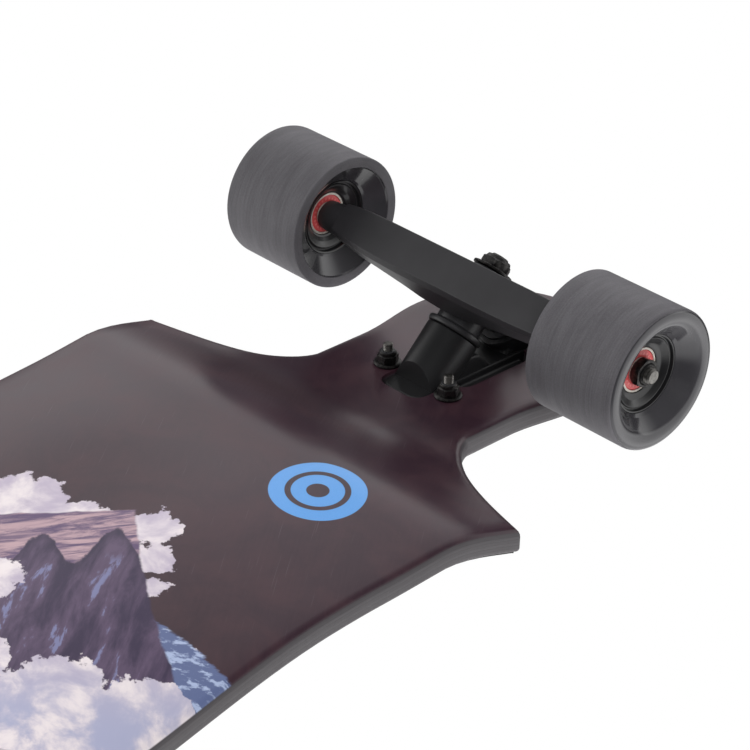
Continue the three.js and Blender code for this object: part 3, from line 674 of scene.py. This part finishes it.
def underside(x, y):
    v = np.abs(y)
    sink = DROP * smooth((RAMP[0] - v) / (RAMP[0] - RAMP[1]))
    bend = CONCAVE * smooth((BEND[0] - v) / (BEND[0] - BEND[1])) + (DEEP_CONCAVE - CONCAVE) * arch(v)
    reach = np.maximum(0, np.abs(x) - FLAT_HALF) / (WAIST_WIDTH / 2 - FLAT_HALF)
    return DECK_UNDER - sink + CAMBER * arch(v) + bend * reach * reach


def bezier(a, b, c, ts):
    a, b, c = (np.array(p, float) for p in (a, b, c))
    return [(1 - t) ** 2 * a + 2 * t * (1 - t) * b + t * t * c for t in ts]


def side_point(v):
    t = (v / CORNER_AT) ** 3.2 + float(arch(v))
    return ((WAIST_WIDTH + (BOARD_WIDTH - WAIST_WIDTH) * t) / 2, v)


def outline():
    """Right-hand edge of the board from tip to tail, with outward normals."""
    quarter = []
    for a in np.linspace(0, math.pi / 2, 26)[:-1]:
        quarter.append((NOSE_WIDTH / 2 * math.sin(a), NOSE_AT + (HALF_LENGTH - NOSE_AT) * math.cos(a)))
    for v in np.linspace(NOSE_AT, NECK_AT, 14)[:-1]:
        t = float(smooth((v - HALF_BASE + 12) / (NOSE_AT - HALF_BASE + 12)))
        quarter.append(((NECK_WIDTH + (NOSE_WIDTH - NECK_WIDTH) * t) / 2, v))
    start, knee = (NECK_WIDTH / 2, NECK_AT), (NECK_WIDTH / 2 + 6.5, CORNER_AT + 18)
    corner = (BOARD_WIDTH / 2, CORNER_AT)
    quarter += [tuple(p) for p in bezier(start, knee, corner, np.linspace(0, 0.985, 24))]
    past_corner = side_point(CORNER_AT - 2)
    quarter += [tuple(p) for p in bezier(quarter[-1], corner, past_corner, np.linspace(0, 1, 7)[1:])]
    quarter += [side_point(v) for v in (CORNER_AT - 2) * (1 - np.linspace(0, 1, 40)[1:] ** 1.1)]
    side = np.array(quarter + [(x, -y) for x, y in quarter[-2::-1]], float)
    ahead = np.vstack([side[1:], [-side[-2][0], side[-2][1]]]) - side
    back = side - np.vstack([[-side[1][0], side[1][1]], side[:-1]])
    normals = []
    for a, b in zip(back, ahead):
        n1 = np.array([-a[1], a[0]]) / np.linalg.norm(a)
        n2 = np.array([-b[1], b[0]]) / np.linalg.norm(b)
        normals.append((n1 + n2) / (1 + n1 @ n2))
    return side, np.array(normals)


def sheet(profile, lift, columns=30):
    """Closed sheet on the deck's surface; profile lists [inset, height] round its edge."""
    side, normals = outline()
    last = len(side) - 1
    points, faces = [], []

    def add(x, y, z):
        points.append((x, y, float(underside(x, y)) + lift + z))
        return len(points) - 1

    rings = []
    for inset, height in profile:
        edge = side - inset * normals
        right = [add(x, y, height) for x, y in edge]
        left = [right[i] if i in (0, last) else add(-edge[i][0], edge[i][1], height) for i in range(last + 1)]
        rings.append((right, left, edge, height))
    for low, high in zip(rings, rings[1:]):
        for i in range(last):
            faces.append((low[0][i], low[0][i + 1], high[0][i + 1], high[0][i]))
            faces.append((low[1][i + 1], low[1][i], high[1][i], high[1][i + 1]))
    for right, left, edge, height in (rings[0], rings[-1]):
        rows = []
        for i in range(last + 1):
            if i in (0, last):
                rows.append([right[i]] * (columns + 1))
                continue
            x, y = edge[i]
            inner = [add(u * x, y, height) for u in np.linspace(-1, 1, columns + 1)[1:-1]]
            rows.append([left[i], *inner, right[i]])
        for a, b in zip(rows, rows[1:]):
            for c in range(columns):
                face = [a[c], a[c + 1], b[c + 1], b[c]]
                faces.append(tuple(dict.fromkeys(face)))
    return np.array(points), faces


def rounded_edge(thickness, low_radius, high_radius, steps=5):
    """Edge profile with a round at each face, from the lower face to the upper."""
    turn = np.linspace(0, math.pi / 2, steps + 1)
    low = [(low_radius * (1 - math.sin(a)), low_radius * (1 - math.cos(a))) for a in turn]
    high = [(high_radius * (1 - math.cos(a)), thickness - high_radius * (1 - math.sin(a))) for a in turn]
    return low + high


def slab_outline(half, y0, y1, radius):
    return fillet([(half, y0, radius), (half, y1, radius), (-half, y1, radius), (-half, y0, radius)], steps=6)


def truck_matrix(sign):
    """Truck frame in the row frame, millimetres."""
    turn = Matrix.Rotation(math.pi if sign < 0 else 0, 4, "Z")
    return shift(0, sign * HALF_BASE, AXLE_HEIGHT) @ turn


def make_deck():
    mesh = build("deck_fine", [sheet(rounded_edge(DECK_THICKNESS, EDGE_ROUND, EDGE_EASE), 0)])
    tools = []
    for sign in (-1, 1):
        matrix = truck_matrix(sign)
        tools.append(moved(prism(slab_outline(SLOT_HALF, SLOT_INNER, SLOT_OUTER, 8), 10, 100), matrix))
        tools.append(moved(prism(slab_outline(WIDE_HALF, WIDE_INNER, WIDE_OUTER, 9), 10, 100), matrix))
        for x, y in BOLT_SITES:
            hole = spin([(10, 0), (10, 2.7), (100, 2.7), (100, 0)], 24, closed=False)
            tools.append(moved(hole, matrix @ shift(x, y, 0) @ X_UP))
    mesh = finished(cut(mesh, tools), DECK, 38)
    place("deck_board", mesh, Matrix.Identity(4), "board", "deck_wood", "deck")


def make_grip():
    profile = [(EDGE_EASE, 0.0), (EDGE_EASE, 0.7), (EDGE_EASE + 0.3, 0.9)]
    mesh = build("grip_fine", [sheet(profile, DECK_THICKNESS + 0.3)])
    tools = []
    for sign in (-1, 1):
        window = prism(slab_outline(29.65, SLOT_INNER - 5, SLOT_OUTER + 4.5, 8), 10, 100)
        tools.append(moved(window, truck_matrix(sign)))
    mesh = finished(cut(mesh, tools), GRIP, 30)
    place("grip_sheet", mesh, Matrix.Identity(4), "board", "grip", "grip_tape")


# ---------- truck castings ----------
STEER_LEVEL = 2.1
SEAT_LOW = -3
SEAT_HIGH = 7.2
WASHER_LOW = 18.4
WASHER_HIGH = 21.4
KINGPIN_AT_DECK = AXLE_TO_DECK / math.cos(TILT) - KINGPIN_OFFSET
HEAD_LOW = KINGPIN_AT_DECK + 12
PIVOT_TIP = AXLE_TO_DECK / math.sin(TILT) - STEER_LEVEL - 9


def up_kingpin(loop, sides=48, closed=False, shape=None):
    """Turned about the kingpin; the first number is the station up it, in the steering frame."""
    return moved(spin(loop, sides, closed, shape), shift(0, KINGPIN_OFFSET, 0) @ X_UP)


def along_pivot(loop, sides=40, closed=False):
    """Turned about the steering axis; the first number is the place along it."""
    turn = Matrix.Rotation(math.pi / 2, 4, "Z")
    return moved(spin(loop, sides, closed), shift(0, 0, STEER_LEVEL) @ turn)


def solid_rod(radius, low, high, ease=0.6):
    return fillet([(low, 0), (low, radius, ease), (high, radius, ease), (high, 0)], closed=False)


def plug(radius, low, high):
    """Half profile of a plain round rod with sharp ends, for cutting bores."""
    return [(low, 0), (low, radius), (high, radius), (high, 0)]


def oblong(x0, y0, x1, y1):
    return [(x0, y0), (x1, y0), (x1, y1), (x0, y1)]


def bar_section(x, corners):
    """Cross-section of the bar at x from (y, z, radius) corners."""
    ring = fillet(corners, steps=5)
    return np.column_stack([np.full(len(ring), x), ring])


def make_hanger():
    """Cast hanger in the steering frame: flat-faced bar, flared skirt, bushing seat and pivot nose."""

    def bar(x, face, top, low, chamfer, skirt, back, r):
        corners = [(-face, -top, r), (-face, low, r * 0.7), (0.8 - face + chamfer, low + chamfer, r * 0.7)]
        return bar_section(x, [*corners, (4, skirt, r), (back, low - 1, r * 2), (back, -top, r * 2)])

    half = [
        bar(HANGER_HALF - 14, 8.6, 8.3, 7.2, 1.3, 8.7, 8.4, 3.4),
        bar(HANGER_HALF - 22, 9.5, 8.8, 8.2, 1.4, 10.0, 8.8, 1.9),
        bar(HANGER_HALF - 31, 10, 9.1, 8.9, 1.4, 11.1, 9.2, 1.0),
        bar(HANGER_HALF - 42, 10, 9.2, 9.4, 1.9, 12.0, 9.6, 0.7),
        bar(HANGER_HALF - 62, 10, 9.2, 9.7, 2.2, 13.8, 10, 0.6),
        bar(HANGER_HALF - 74, 10, 9.2, 9.7, 2.2, 15.2, 10, 0.6),
        bar(0, 10, 9.2, 9.5, 2.2, 16.2, 10, 0.6),
    ]
    mirror = np.array([-1, 1, 1])
    bar_skin = build("bar", [loft(half + [ring * mirror for ring in half[-2::-1]])])
    shoulder = fillet([(0, 0), (0, 8.2), (HANGER_HALF - 12, 8.2), (HANGER_HALF - 5, 7.7),
                       (HANGER_HALF, 7.4, 0.8), (HANGER_HALF, 0)], closed=False)
    turns = [Matrix.Rotation(turn, 4, "Z") for turn in (0, math.pi)]
    shoulders = [build("shoulder", [moved(spin(shoulder, 72, False), turn)]) for turn in turns]
    web = fillet([(-66, 0), (66, 0), (17, 24, 14), (-17, 24, 14)])
    seat = [
        prism(web, SEAT_LOW, SEAT_HIGH),
        up_kingpin(solid_rod(17, SEAT_LOW - 2.5, SEAT_HIGH + 3.2, 1.5)),
        along_pivot([(KINGPIN_OFFSET + 10, 0), (KINGPIN_OFFSET + 10, 9.5), (PIVOT_TIP - 12, 6.6),
                     (PIVOT_TIP - 3, 6.4), (PIVOT_TIP, 3.5), (PIVOT_TIP, 0)]),
    ]
    body = joined("hanger_cast", [bar_skin, *shoulders, cast("seat_cast", seat, 0.7, 3)])
    tools = [
        up_kingpin(plug(7, -60, 60)),
        up_kingpin(plug(SEAT_CUP, SEAT_HIGH, 60)),
        up_kingpin(plug(SEAT_CUP, -60, SEAT_LOW)),
        spin(plug(AXLE_BORE, -200, 200), 40, closed=False),
    ]
    return finished(cut(body, tools), TRUCK, 28)


def make_baseplate():
    """Cast baseplate in the truck frame: top plate, tower through the deck, kingpin boss, pivot housing."""
    steer = Matrix.Rotation(TILT, 4, "X")
    inner, outer = SLOT_INNER + 1.5, SLOT_OUTER - 1.5
    under, high = AXLE_TO_DECK, AXLE_TO_DECK + 10
    flank = fillet([(BOSS_END, high), (BOSS_END, under), (-14, under - 10, 6), (6, under - 7.5, 6),
                    (14, under + 1), (14, high)])
    strut = fillet([(26, high), (26, under + 1.5), (34, under - 9, 4), (42, under - 6, 4),
                    (44, under + 1), (44, high)])
    boss = [(WASHER_HIGH + 0.3, 0), (WASHER_HIGH + 0.3, 13.5, 0.8), (HEAD_LOW + 5, 13.5), (HEAD_LOW + 5, 0)]
    tube = build("tube", [moved(up_kingpin(fillet(boss, closed=False), 96), steer)])
    housing = plug(13, PIVOT_TIP - 8.5, PIVOT_TIP + 7)
    tower = [
        prism(flank, -11.5, 11.5, "yzx"),
        moved(along_pivot(housing), steer),
        prism(strut, -10, 10, "yzx"),
    ]
    skin = joined("tower", [tube, cast("tower_cast", tower, 0.75, 4)])
    before_boss = prism(oblong(-60, -90, 60, BOSS_END), -60, 120)
    above_plate = prism(oblong(-60, -90, 60, 90), PLATE_TOP - 1, 120)
    beside = (
        oblong(TOWER_HALF, -90, 90, 90),
        oblong(-90, -90, -TOWER_HALF, 90),
        oblong(-60, outer, 60, 90),
    )
    band = [prism(box, under - 0.6, PLATE_LOW + 0.3) for box in beside]
    skin = cut(skin, [before_boss, above_plate, *band])
    wide = slab_outline(WIDE_HALF - 1.5, WIDE_INNER + 1.5, WIDE_OUTER - 1.5, 7.5)
    plate = [
        prism(slab_outline(28.15, SLOT_INNER - 3.5, SLOT_OUTER + 3, 7), PLATE_LOW, PLATE_TOP),
        prism(slab_outline(SLOT_HALF - 1.5, inner, outer, 6.5), under + 1, PLATE_TOP - 1),
        prism(wide, under + 5, PLATE_TOP - 1),
    ]
    both = joined("baseplate_cast", [skin, cast("plate_cast", plate, 0.6, 3)])
    bore = plug(2.8, 30, 90)
    bolts = [moved(spin(bore, 24, closed=False), shift(x, y, 0) @ X_UP) for x, y in BOLT_SITES]
    pocket = plug(8.8, HEAD_LOW - 0.3, HEAD_LOW + 8)
    well = prism(slab_outline(8.8, -35, -20, 4), under + 10, PLATE_TOP + 20)
    shaft = moved(up_kingpin(plug(5, 0, 80), 32), steer)
    cup = moved(along_pivot(plug(10.3, 30, PIVOT_TIP + 4.3)), steer)
    return finished(cut(both, [*bolts, moved(up_kingpin(pocket, 36), steer), well, shaft, cup]), COAT_PAINTED_SHADE, 32)


def joined(name, meshes):
    """Union of closed meshes."""
    base = meshes[0]
    for other in meshes[1:]:
        holder = bpy.data.objects.new(name, other)
        SCENE.collection.objects.link(holder)

        def add(target):
            boolean = target.modifiers.new("join", "BOOLEAN")
            boolean.operation = "UNION"
            boolean.solver = "MANIFOLD"
            boolean.object = holder

        base = modified(base, add)
        bpy.data.objects.remove(holder)
    return base


# ---------- kingpin and mounting hardware ----------
AXLE_BORE = 4.1
KINGPIN_RADIUS = 4.75
KINGPIN_BORE = 4.95
BUSHING_BORE = 5.1
SWAY_BORE = 6.9
SEAT_CUP = 12.4
TOWER_HALF = 12.6
ROAD_WASHER_LOW = -15.2
ROAD_WASHER_HIGH = -13.7


def ring(outer, bore, low, high, ease=0.3):
    return fillet([(low, bore), (low, outer, ease), (high, outer, ease), (high, bore)], steps=4)


def make_board_washer():
    """Formed cup washer: a rolled rim round a flat centre."""
    low, high = WASHER_LOW, WASHER_HIGH
    loop = fillet([(low + 1.2, KINGPIN_BORE), (low + 1.2, 11.2, 0.8), (low - 0.2, 11.8, 0.9), (low - 0.2, 14.3, 1.5),
                   (high, 14.3, 1.5), (high, KINGPIN_BORE)], steps=6)
    return build("washer_board", [up_kingpin(loop, 72, True)], CAP)


def make_bushing(seat, washer, seat_radius, washer_radius):
    """Urethane bushing; its bore is wide at the hanger's seat, where it sways round the kingpin."""
    toward = math.copysign(1, washer - seat)
    loop = fillet([(seat, SWAY_BORE), (seat, seat_radius, 1.2), (washer, washer_radius, 1.2),
                   (washer, BUSHING_BORE), (washer - 1.5 * toward, BUSHING_BORE),
                   (seat + 5 * toward, SWAY_BORE)], steps=5)
    pairs = list(zip(loop, [*loop[1:], loop[0]]))
    steps = [(1 - t) * np.array(a) + t * np.array(b) for a, b in pairs for t in np.arange(0, 1, 0.25)]
    return build("bushing", [up_kingpin(steps, 64, True)], BUSHING)


def make_kingpin():
    loop = [(-22, 0), (-22, 4.0), (-21.2, KINGPIN_RADIUS)]
    loop += [(x, KINGPIN_RADIUS) for x in np.arange(-21, -12, 0.16)]
    loop += [(HEAD_LOW, KINGPIN_RADIUS), (HEAD_LOW, 8.2), (HEAD_LOW + 5.4, 8.2)]
    loop += [(HEAD_LOW + 6, 7.4), (HEAD_LOW + 6, 0)]
    threads = thread(1.1, 0.5, -21.1, -12)
    flats = hexagon(7.1, HEAD_LOW - 0.1, HEAD_LOW + 6.1)

    def shape(x, r, angle):
        return flats(*threads(x, r, angle), angle)

    return build("kingpin", [up_kingpin(loop, 48, False, shape)], DARK)


def make_kingpin_nut():
    top = ROAD_WASHER_LOW - 0.3
    loop = fillet([(-21, 5.0), (-21, 6.0, 0.4), (-19.4, 6.7, 0.3), (-19.2, 7.2), (-18.6, 8.2),
                   (top - 0.5, 8.2), (top, 7.4), (top, 5.0)], steps=3)
    return build("kingpin_nut", [up_kingpin(loop, 72, True, hexagon(7.1, -19.21, top + 0.1))], DARK)


def make_bolt():
    """Machine screw; the first number is the distance below the deck."""
    head, tip = -(PLATE_TOP - AXLE_TO_DECK), 11.3
    loop = [(tip, 0), (tip, 1.8), (tip - 0.5, 2.4)]
    loop += [(x, 2.4) for x in np.arange(tip - 0.5, -0.5, -0.12)]
    loop += [(head - 0.3, 2.4), (head - 0.3, 4.5), (head - 0.7, 4.7), (head - 2.2, 4.3)]
    loop += [(head - 3, 3.2), (head - 3, 1.75), (head - 1.5, 1.75), (head - 1.5, 0)]
    threads = thread(0.8, 0.36, -0.4, tip - 0.5)
    socket = hexagon(1.5, head - 3.1, head - 1.4)

    def shape(x, r, angle):
        x, r = threads(x, r, angle)
        return x, np.where(r < 2, socket(x, r, angle)[1], r)

    return build("bolt", [spin(loop, 36, False, shape)], STEEL)


def make_lock_nut():
    """Flanged hex nut; the first number is the distance below the deck."""
    loop = [(0.3, 2.45), (0.3, 6.5), (0.5, 6.8), (1.1, 6.8), (1.5, 6.4), (1.8, 5.9), (1.9, 5.6), (5.0, 5.6),
            (5.3, 5.2), (5.6, 4.6), (5.7, 4.35), (6.9, 4.2), (7.3, 3.8), (7.4, 3.3), (7.4, 2.45)]
    return build("lock_nut", [spin(loop, 72, True, hexagon(4.75, 1.85, 5.65))], DARK)


def make_lock_insert():
    loop = fillet([(5.9, 2.45), (5.9, 3.9), (7.7, 3.5, 0.3), (7.7, 2.45)])
    return build("lock_insert", [spin(loop, 40)], NYLON)


# ---------- wheels ----------
def make_tyre():
    r = WHEEL_RADIUS
    inner_face = [(WHEEL_IN, r - 5.2, 0.4), (WHEEL_IN, r, 0.7)]
    outer_lip = [(WHEEL_OUT, r, 3.4), (WHEEL_OUT, r - 7.5, 6.5)]
    outer_bowl = [(121.0, 20.6, 4.0), (119.5, 19.15, 0.4)]
    inner_bowl = [(85.6, 19.15, 0.3), (84.4, 20.4, 1.5), (WHEEL_IN + 1.2, r - 5.8, 0.6)]
    sides = 144
    corners = fillet(inner_face + outer_lip + outer_bowl + inner_bowl, steps=6)
    points, faces = spin(corners, sides)
    tread = [p[1] > r - 1.2 or p[0] < WHEEL_IN + 0.5 for p in corners]
    numbers = [0 if here and ahead else 1 for here, ahead in zip(tread, tread[1:] + tread[:1])] * sides
    return build("tyre", [(points, faces, numbers)], [TREAD, BOWL], 30)


def make_core():
    bearing = BEARING_OUT + BEARING_WIDTH
    loop = fillet(
        [
            (85.4, 19), (119.4, 19, 0.2), (119.4, 18.2, 0.3), (117.6, 17.9, 0.3), (117.6, 17.2, 0.3),
            (118.6, 16.8, 0.5), (116.2, 13.8, 3.0), (bearing + 0.7, 12.0, 0.5), (bearing + 0.4, 11.05, 0.2),
            (107.7, 11.05), (107.7, 8.6), (98.3, 8.6), (98.3, 11.05), (BEARING_IN - 0.4, 11.05, 0.2),
            (BEARING_IN - 0.7, 12.0, 0.5), (88.6, 13.8, 2.4), (86.8, 16.6, 0.5), (87.8, 17.1, 0.3),
            (87.8, 17.8, 0.3), (85.8, 18.2, 0.3),
        ],
        steps=4,
    )
    return build("core", [spin(loop, 120)], CORE, 30)


def make_race(at, outer, bore):
    return build("race", [spin(ring(outer, bore, at, at + BEARING_WIDTH, 0.35), 96)], RACE_PAINTED_REFLECTION)


def make_shield(at):
    loop = fillet([(at + 0.45, 6.15, 0.2), (at + 0.25, 7.0, 0.3), (at + 0.25, 9.3, 0.3),
                   (at + 0.55, 9.85, 0.2), (at + 6.45, 9.85, 0.2), (at + 6.75, 9.3, 0.3),
                   (at + 6.75, 7.0, 0.3), (at + 6.55, 6.15, 0.2)], steps=3)
    return build("shield", [spin(loop, 96)], SHIELD)


def make_axle():
    low = HANGER_HALF + 25
    half = [(AXLE_TIP, 0), (AXLE_TIP, 3.1), (AXLE_TIP - 0.9, 3.95)]
    half += [(x, 3.95) for x in np.arange(AXLE_TIP - 1, low, -0.15)]
    loop = half + [(-x, r) for x, r in half[::-1]]
    right = thread(1.06, 0.5, low, AXLE_TIP - 0.9)
    left = thread(1.06, 0.5, 1 - AXLE_TIP, -low)

    def shape(x, r, angle):
        return left(*right(x, r, angle), angle)

    return build("axle", [spin(loop, 48, False, shape)], STEEL)


def make_axle_nut():
    at = BEARING_OUT + BEARING_WIDTH + 1.2
    loop = [(at, AXLE_BORE), (at, 6.9), (at + 0.5, 7.4), (at + 3.0, 7.4), (at + 3.5, 6.7), (at + 3.6, 6.1),
            (at + 3.7, 5.4), (at + 4.4, 5.1), (at + 4.8, 4.6), (at + 4.8, AXLE_BORE)]
    return build("axle_nut", [spin(loop, 72, True, hexagon(6.35, at - 0.1, at + 3.65))], DARK)


def add_truck(end, sign, kit):
    truck = truck_matrix(sign)
    steer = truck @ Matrix.Rotation(TILT, 4, "X")

    def metres(matrix):
        out = matrix.copy()
        out.translation *= MM
        return out

    def put(name, matrix, body, slot, *replaced):
        nodes = [f"{end}_{node}" for node in replaced]
        mesh = kit[name.rstrip("_0123456789")]
        place(f"{end}_{name}_fine", mesh, metres(matrix), body, slot, *nodes)

    hanger = f"{end}_hanger"
    put("baseplate", truck, "board", "truck_black", "baseplate")
    put("hanger", steer, hanger, "truck_black", "hanger")
    put("axle", truck, hanger, "axle_steel", "axle")
    put("washer_board", steer, "board", "truck_black", "washer_board")
    put("washer_road", steer, "board", "dark_steel", "washer_road")
    # Each bushing has two heights up the kingpin, near the hanger and near the board; they go to place() with both
    # body names, and the bushing is baked in place.
    sways = {
        "bushing_board": (SEAT_HIGH + 3.5, WASHER_LOW - 1.2),
        "bushing_road": (SEAT_LOW - 3.2, ROAD_WASHER_HIGH + 1.5),
    }
    for name, heights in sways.items():
        ends = [(steer @ Vector((0, KINGPIN_OFFSET, z))) * MM for z in heights]
        both = (hanger, "board", *ends)
        place(f"{end}_{name}_fine", kit[name], metres(steer), None, "bushing", f"{end}_{name}", across=both)
    put("kingpin", steer, "board", "dark_steel", "kingpin")
    put("kingpin_nut", steer, "board", "dark_steel", "kingpin_nut")
    put("pivot_cup", steer, "board", "bushing", "pivot_cup")
    for i, (x, y) in enumerate(BOLT_SITES, 1):
        site = truck @ shift(x, y, AXLE_TO_DECK) @ X_DOWN
        put(f"bolt_{i}", site, "board", "dark_steel", f"bolt_{i}")
        put(f"lock_nut_{i}", site, "board", "dark_steel", f"lock_nut_{i}")
        put(f"lock_insert_{i}", site, "board", "bushing")
    for side in ("left", "right"):
        # The board's right is +X; the front truck is turned half round.
        turn = Matrix.Rotation(0 if (side == "right") == (sign > 0) else math.pi, 4, "Z")
        wheel = truck @ turn
        body = f"{end}_{side}_wheel"

        def fit(name, piece, slot, *replaced, on=body):
            nodes = [f"{end}_{side}_{node}" for node in replaced]
            place(f"{end}_{side}_{piece}", kit[name], metres(wheel), on, slot, *nodes)

        fit("tyre", "tyre_fine", "tyre", "tyre")
        fit("core", "core_fine", "core", "core")
        for where in ("in", "out"):
            fit(f"race_{where}", f"race_{where}_outer", "axle_steel", f"bearing_{where}")
            fit(f"hub_{where}", f"race_{where}_inner", "axle_steel")
            fit(f"shield_{where}", f"shield_{where}", "bearing")
        fit("spacer", "bearing_spacer", "axle_steel")
        fit("speed_in", "speed_ring_in", "dark_steel", on=hanger)
        fit("speed_out", "speed_ring_out", "dark_steel", on=hanger)
        fit("axle_nut", "axle_nut_fine", "dark_steel", "axle_nut", on=hanger)


def make_kit():
    """Every mesh of a truck, made once."""
    road_washer = ring(10.4, KINGPIN_BORE, ROAD_WASHER_LOW, ROAD_WASHER_HIGH, 0.5)
    pivot_cup = ring(10, 6.8, PIVOT_TIP - 10, PIVOT_TIP + 4)
    spacer = ring(5.6, AXLE_BORE, BEARING_IN + 7.1, BEARING_OUT - 0.1)
    speed_in = ring(5.6, AXLE_BORE, HANGER_HALF + 0.05, BEARING_IN - 0.05, 0.2)
    speed_out = ring(6.4, AXLE_BORE, BEARING_OUT + 7.05, BEARING_OUT + 8.15, 0.3)
    kit = {
        "baseplate": make_baseplate(),
        "hanger": make_hanger(),
        "axle": make_axle(),
        "washer_board": make_board_washer(),
        "washer_road": build("washer_road", [up_kingpin(road_washer, 72, True)], DARK),
        "bushing_board": make_bushing(SEAT_HIGH + 0.3, WASHER_LOW - 0.1, 11.6, 11.4),
        "bushing_road": make_bushing(SEAT_LOW - 0.3, ROAD_WASHER_HIGH + 0.3, 11.6, 9.6),
        "kingpin": make_kingpin(),
        "kingpin_nut": make_kingpin_nut(),
        "pivot_cup": build("pivot_cup", [along_pivot(pivot_cup, 48, True)], BUSHING),
        "bolt": make_bolt(),
        "lock_nut": make_lock_nut(),
        "lock_insert": make_lock_insert(),
        "tyre": make_tyre(),
        "core": make_core(),
        "spacer": build("spacer", [spin(spacer, 48)], STEEL),
        "speed_in": build("speed", [spin(speed_in, 48)], DARK),
        "speed_out": build("speed", [spin(speed_out, 48)], CORE),
        "axle_nut": make_axle_nut(),
    }
    for where, at in (("in", BEARING_IN), ("out", BEARING_OUT)):
        kit[f"race_{where}"] = make_race(at, 10.95, 9.9)
        kit[f"hub_{where}"] = make_race(at, 6.1, AXLE_BORE)
        kit[f"shield_{where}"] = make_shield(at)
    return kit


# ---------- stage ----------
def make_camera():
    """Below the board, looking up at its underside with the front truck in view."""
    right = Vector((0.68644, -0.72683, -0.02263))
    up = Vector((-0.37672, -0.32882, -0.86601))
    back = right.cross(up).normalized()
    camera = bpy.data.objects.new("camera", bpy.data.cameras.new("camera"))
    SCENE.collection.objects.link(camera)
    turn = Matrix((right, up, back)).transposed()
    camera.matrix_world = Matrix.Translation((0.76399, 0.38385, -0.54683)) @ turn.to_4x4()
    camera.data.lens = 126.3
    camera.data.sensor_width = 36
    camera.data.clip_start = 0.05
    camera.data.clip_end = 50
    SCENE.camera = camera


def make_world():
    """Studio, white to the eye: a broad glow low on the far side, one overhead and one at each hand."""
    world = bpy.data.worlds.new("studio")
    SCENE.world = world
    world.use_nodes = True
    tree = world.node_tree
    tree.nodes.clear()
    nodes = tree.nodes
    link = tree.links.new
    heading = nodes.new("ShaderNodeTexCoord").outputs["Generated"]

    def toward(direction, start, end, low, high):
        """Value that eases from low to high as the heading turns towards a direction."""
        along = nodes.new("ShaderNodeVectorMath")
        along.operation = "DOT_PRODUCT"
        link(heading, along.inputs[0])
        along.inputs[1].default_value = direction
        spread = nodes.new("ShaderNodeMapRange")
        spread.interpolation_type = "SMOOTHSTEP"
        for name, value in (("From Min", start), ("From Max", end), ("To Min", low), ("To Max", high)):
            spread.inputs[name].default_value = value
        link(along.outputs["Value"], spread.inputs["Value"])
        return spread.outputs["Result"]

    def combined(operation, a, b):
        node = nodes.new("ShaderNodeMath")
        node.operation = operation
        link(a, node.inputs[0])
        link(b, node.inputs[1])
        return node.outputs[0]

    rise = toward((0, 0, -1), 0.06, 0.22, 0, 0.95)
    beneath = combined("ADD", rise, toward((0, 0, -1), 0.38, 0.62, 0, -0.25))
    far_side = toward((-0.69, -0.72, 0), 0.0, 0.45, 0.12, 1.0)
    glow = combined("ADD", combined("MULTIPLY", beneath, far_side), toward((0, 0, 1), 0.35, 0.75, 0.05, 0.85))
    glow = combined("ADD", glow, toward((-0.69, 0.73, 0), 0.80, 0.93, 0, 1.3))
    glow = combined("ADD", glow, toward((0.77, -0.62, 0.15), 0.74, 0.90, 0, 0.9))
    seen = nodes.new("ShaderNodeLightPath")
    pick = nodes.new("ShaderNodeMix")
    pick.data_type = "FLOAT"
    pick.inputs["B"].default_value = 1.0
    background = nodes.new("ShaderNodeBackground")
    output = nodes.new("ShaderNodeOutputWorld")
    link(glow, pick.inputs["A"])
    link(seen.outputs["Is Camera Ray"], pick.inputs["Factor"])
    link(pick.outputs["Result"], background.inputs["Strength"])
    background.inputs["Color"].default_value = (1, 1, 1, 1)
    link(background.outputs[0], output.inputs["Surface"])


def make_floor():
    """Pale floor seen from above; from below it lets the view and the light through."""
    side = 6.0
    mesh = bpy.data.meshes.new("floor")
    corners = [(x, y, 0) for x, y in oblong(-side, -side, side, side)]
    mesh.from_pydata(corners, [], [(0, 1, 2, 3)])
    floor = bpy.data.objects.new("floor", mesh)
    SCENE.collection.objects.link(floor)
    material = bpy.data.materials.new("pale_floor")
    material.use_nodes = True
    tree = material.node_tree
    tree.nodes.clear()
    geometry = tree.nodes.new("ShaderNodeNewGeometry")
    diffuse = tree.nodes.new("ShaderNodeBsdfDiffuse")
    diffuse.inputs["Color"].default_value = (0.86, 0.86, 0.85, 1)
    clear = tree.nodes.new("ShaderNodeBsdfTransparent")
    pick = tree.nodes.new("ShaderNodeMixShader")
    output = tree.nodes.new("ShaderNodeOutputMaterial")
    tree.links.new(geometry.outputs["Backfacing"], pick.inputs[0])
    tree.links.new(diffuse.outputs[0], pick.inputs[1])
    tree.links.new(clear.outputs[0], pick.inputs[2])
    tree.links.new(pick.outputs[0], output.inputs["Surface"])
    mesh.materials.append(material)
    for ray in ("shadow", "diffuse", "glossy", "transmission"):
        setattr(floor, f"visible_{ray}", False)


def make_light(name, toward, distance, size, watts):
    """Square softbox in a direction from the truck, facing back to it; metres."""
    lamp = bpy.data.lights.new(name, "AREA")
    lamp.size = size
    lamp.energy = watts
    light = bpy.data.objects.new(name, lamp)
    SCENE.collection.objects.link(light)
    aim = Vector(toward).normalized()
    light.location = Vector((0, -0.35, 0.05)) + aim * distance
    light.rotation_mode = "QUATERNION"
    light.rotation_quaternion = (-aim).to_track_quat("-Z", "Y")
    light.visible_camera = False
    light.visible_glossy = False


make_deck()
make_grip()
parts_kit = make_kit()
add_truck("front", -1, parts_kit)
add_truck("rear", 1, parts_kit)
make_camera()
make_world()
make_floor()
make_light("under_key", (-0.62, -0.66, -0.36), 2.0, 1.1, 41)
make_light("under_fill", (0.5, 0.5, -0.7), 1.8, 1.2, 25)
make_light("over_key", (0.6, -0.2, 1.0), 2.0, 1.2, 44)
make_light("over_fill", (-0.7, 0.6, 0.8), 2.2, 1.4, 22)
SCENE.view_settings.view_transform = "Standard"
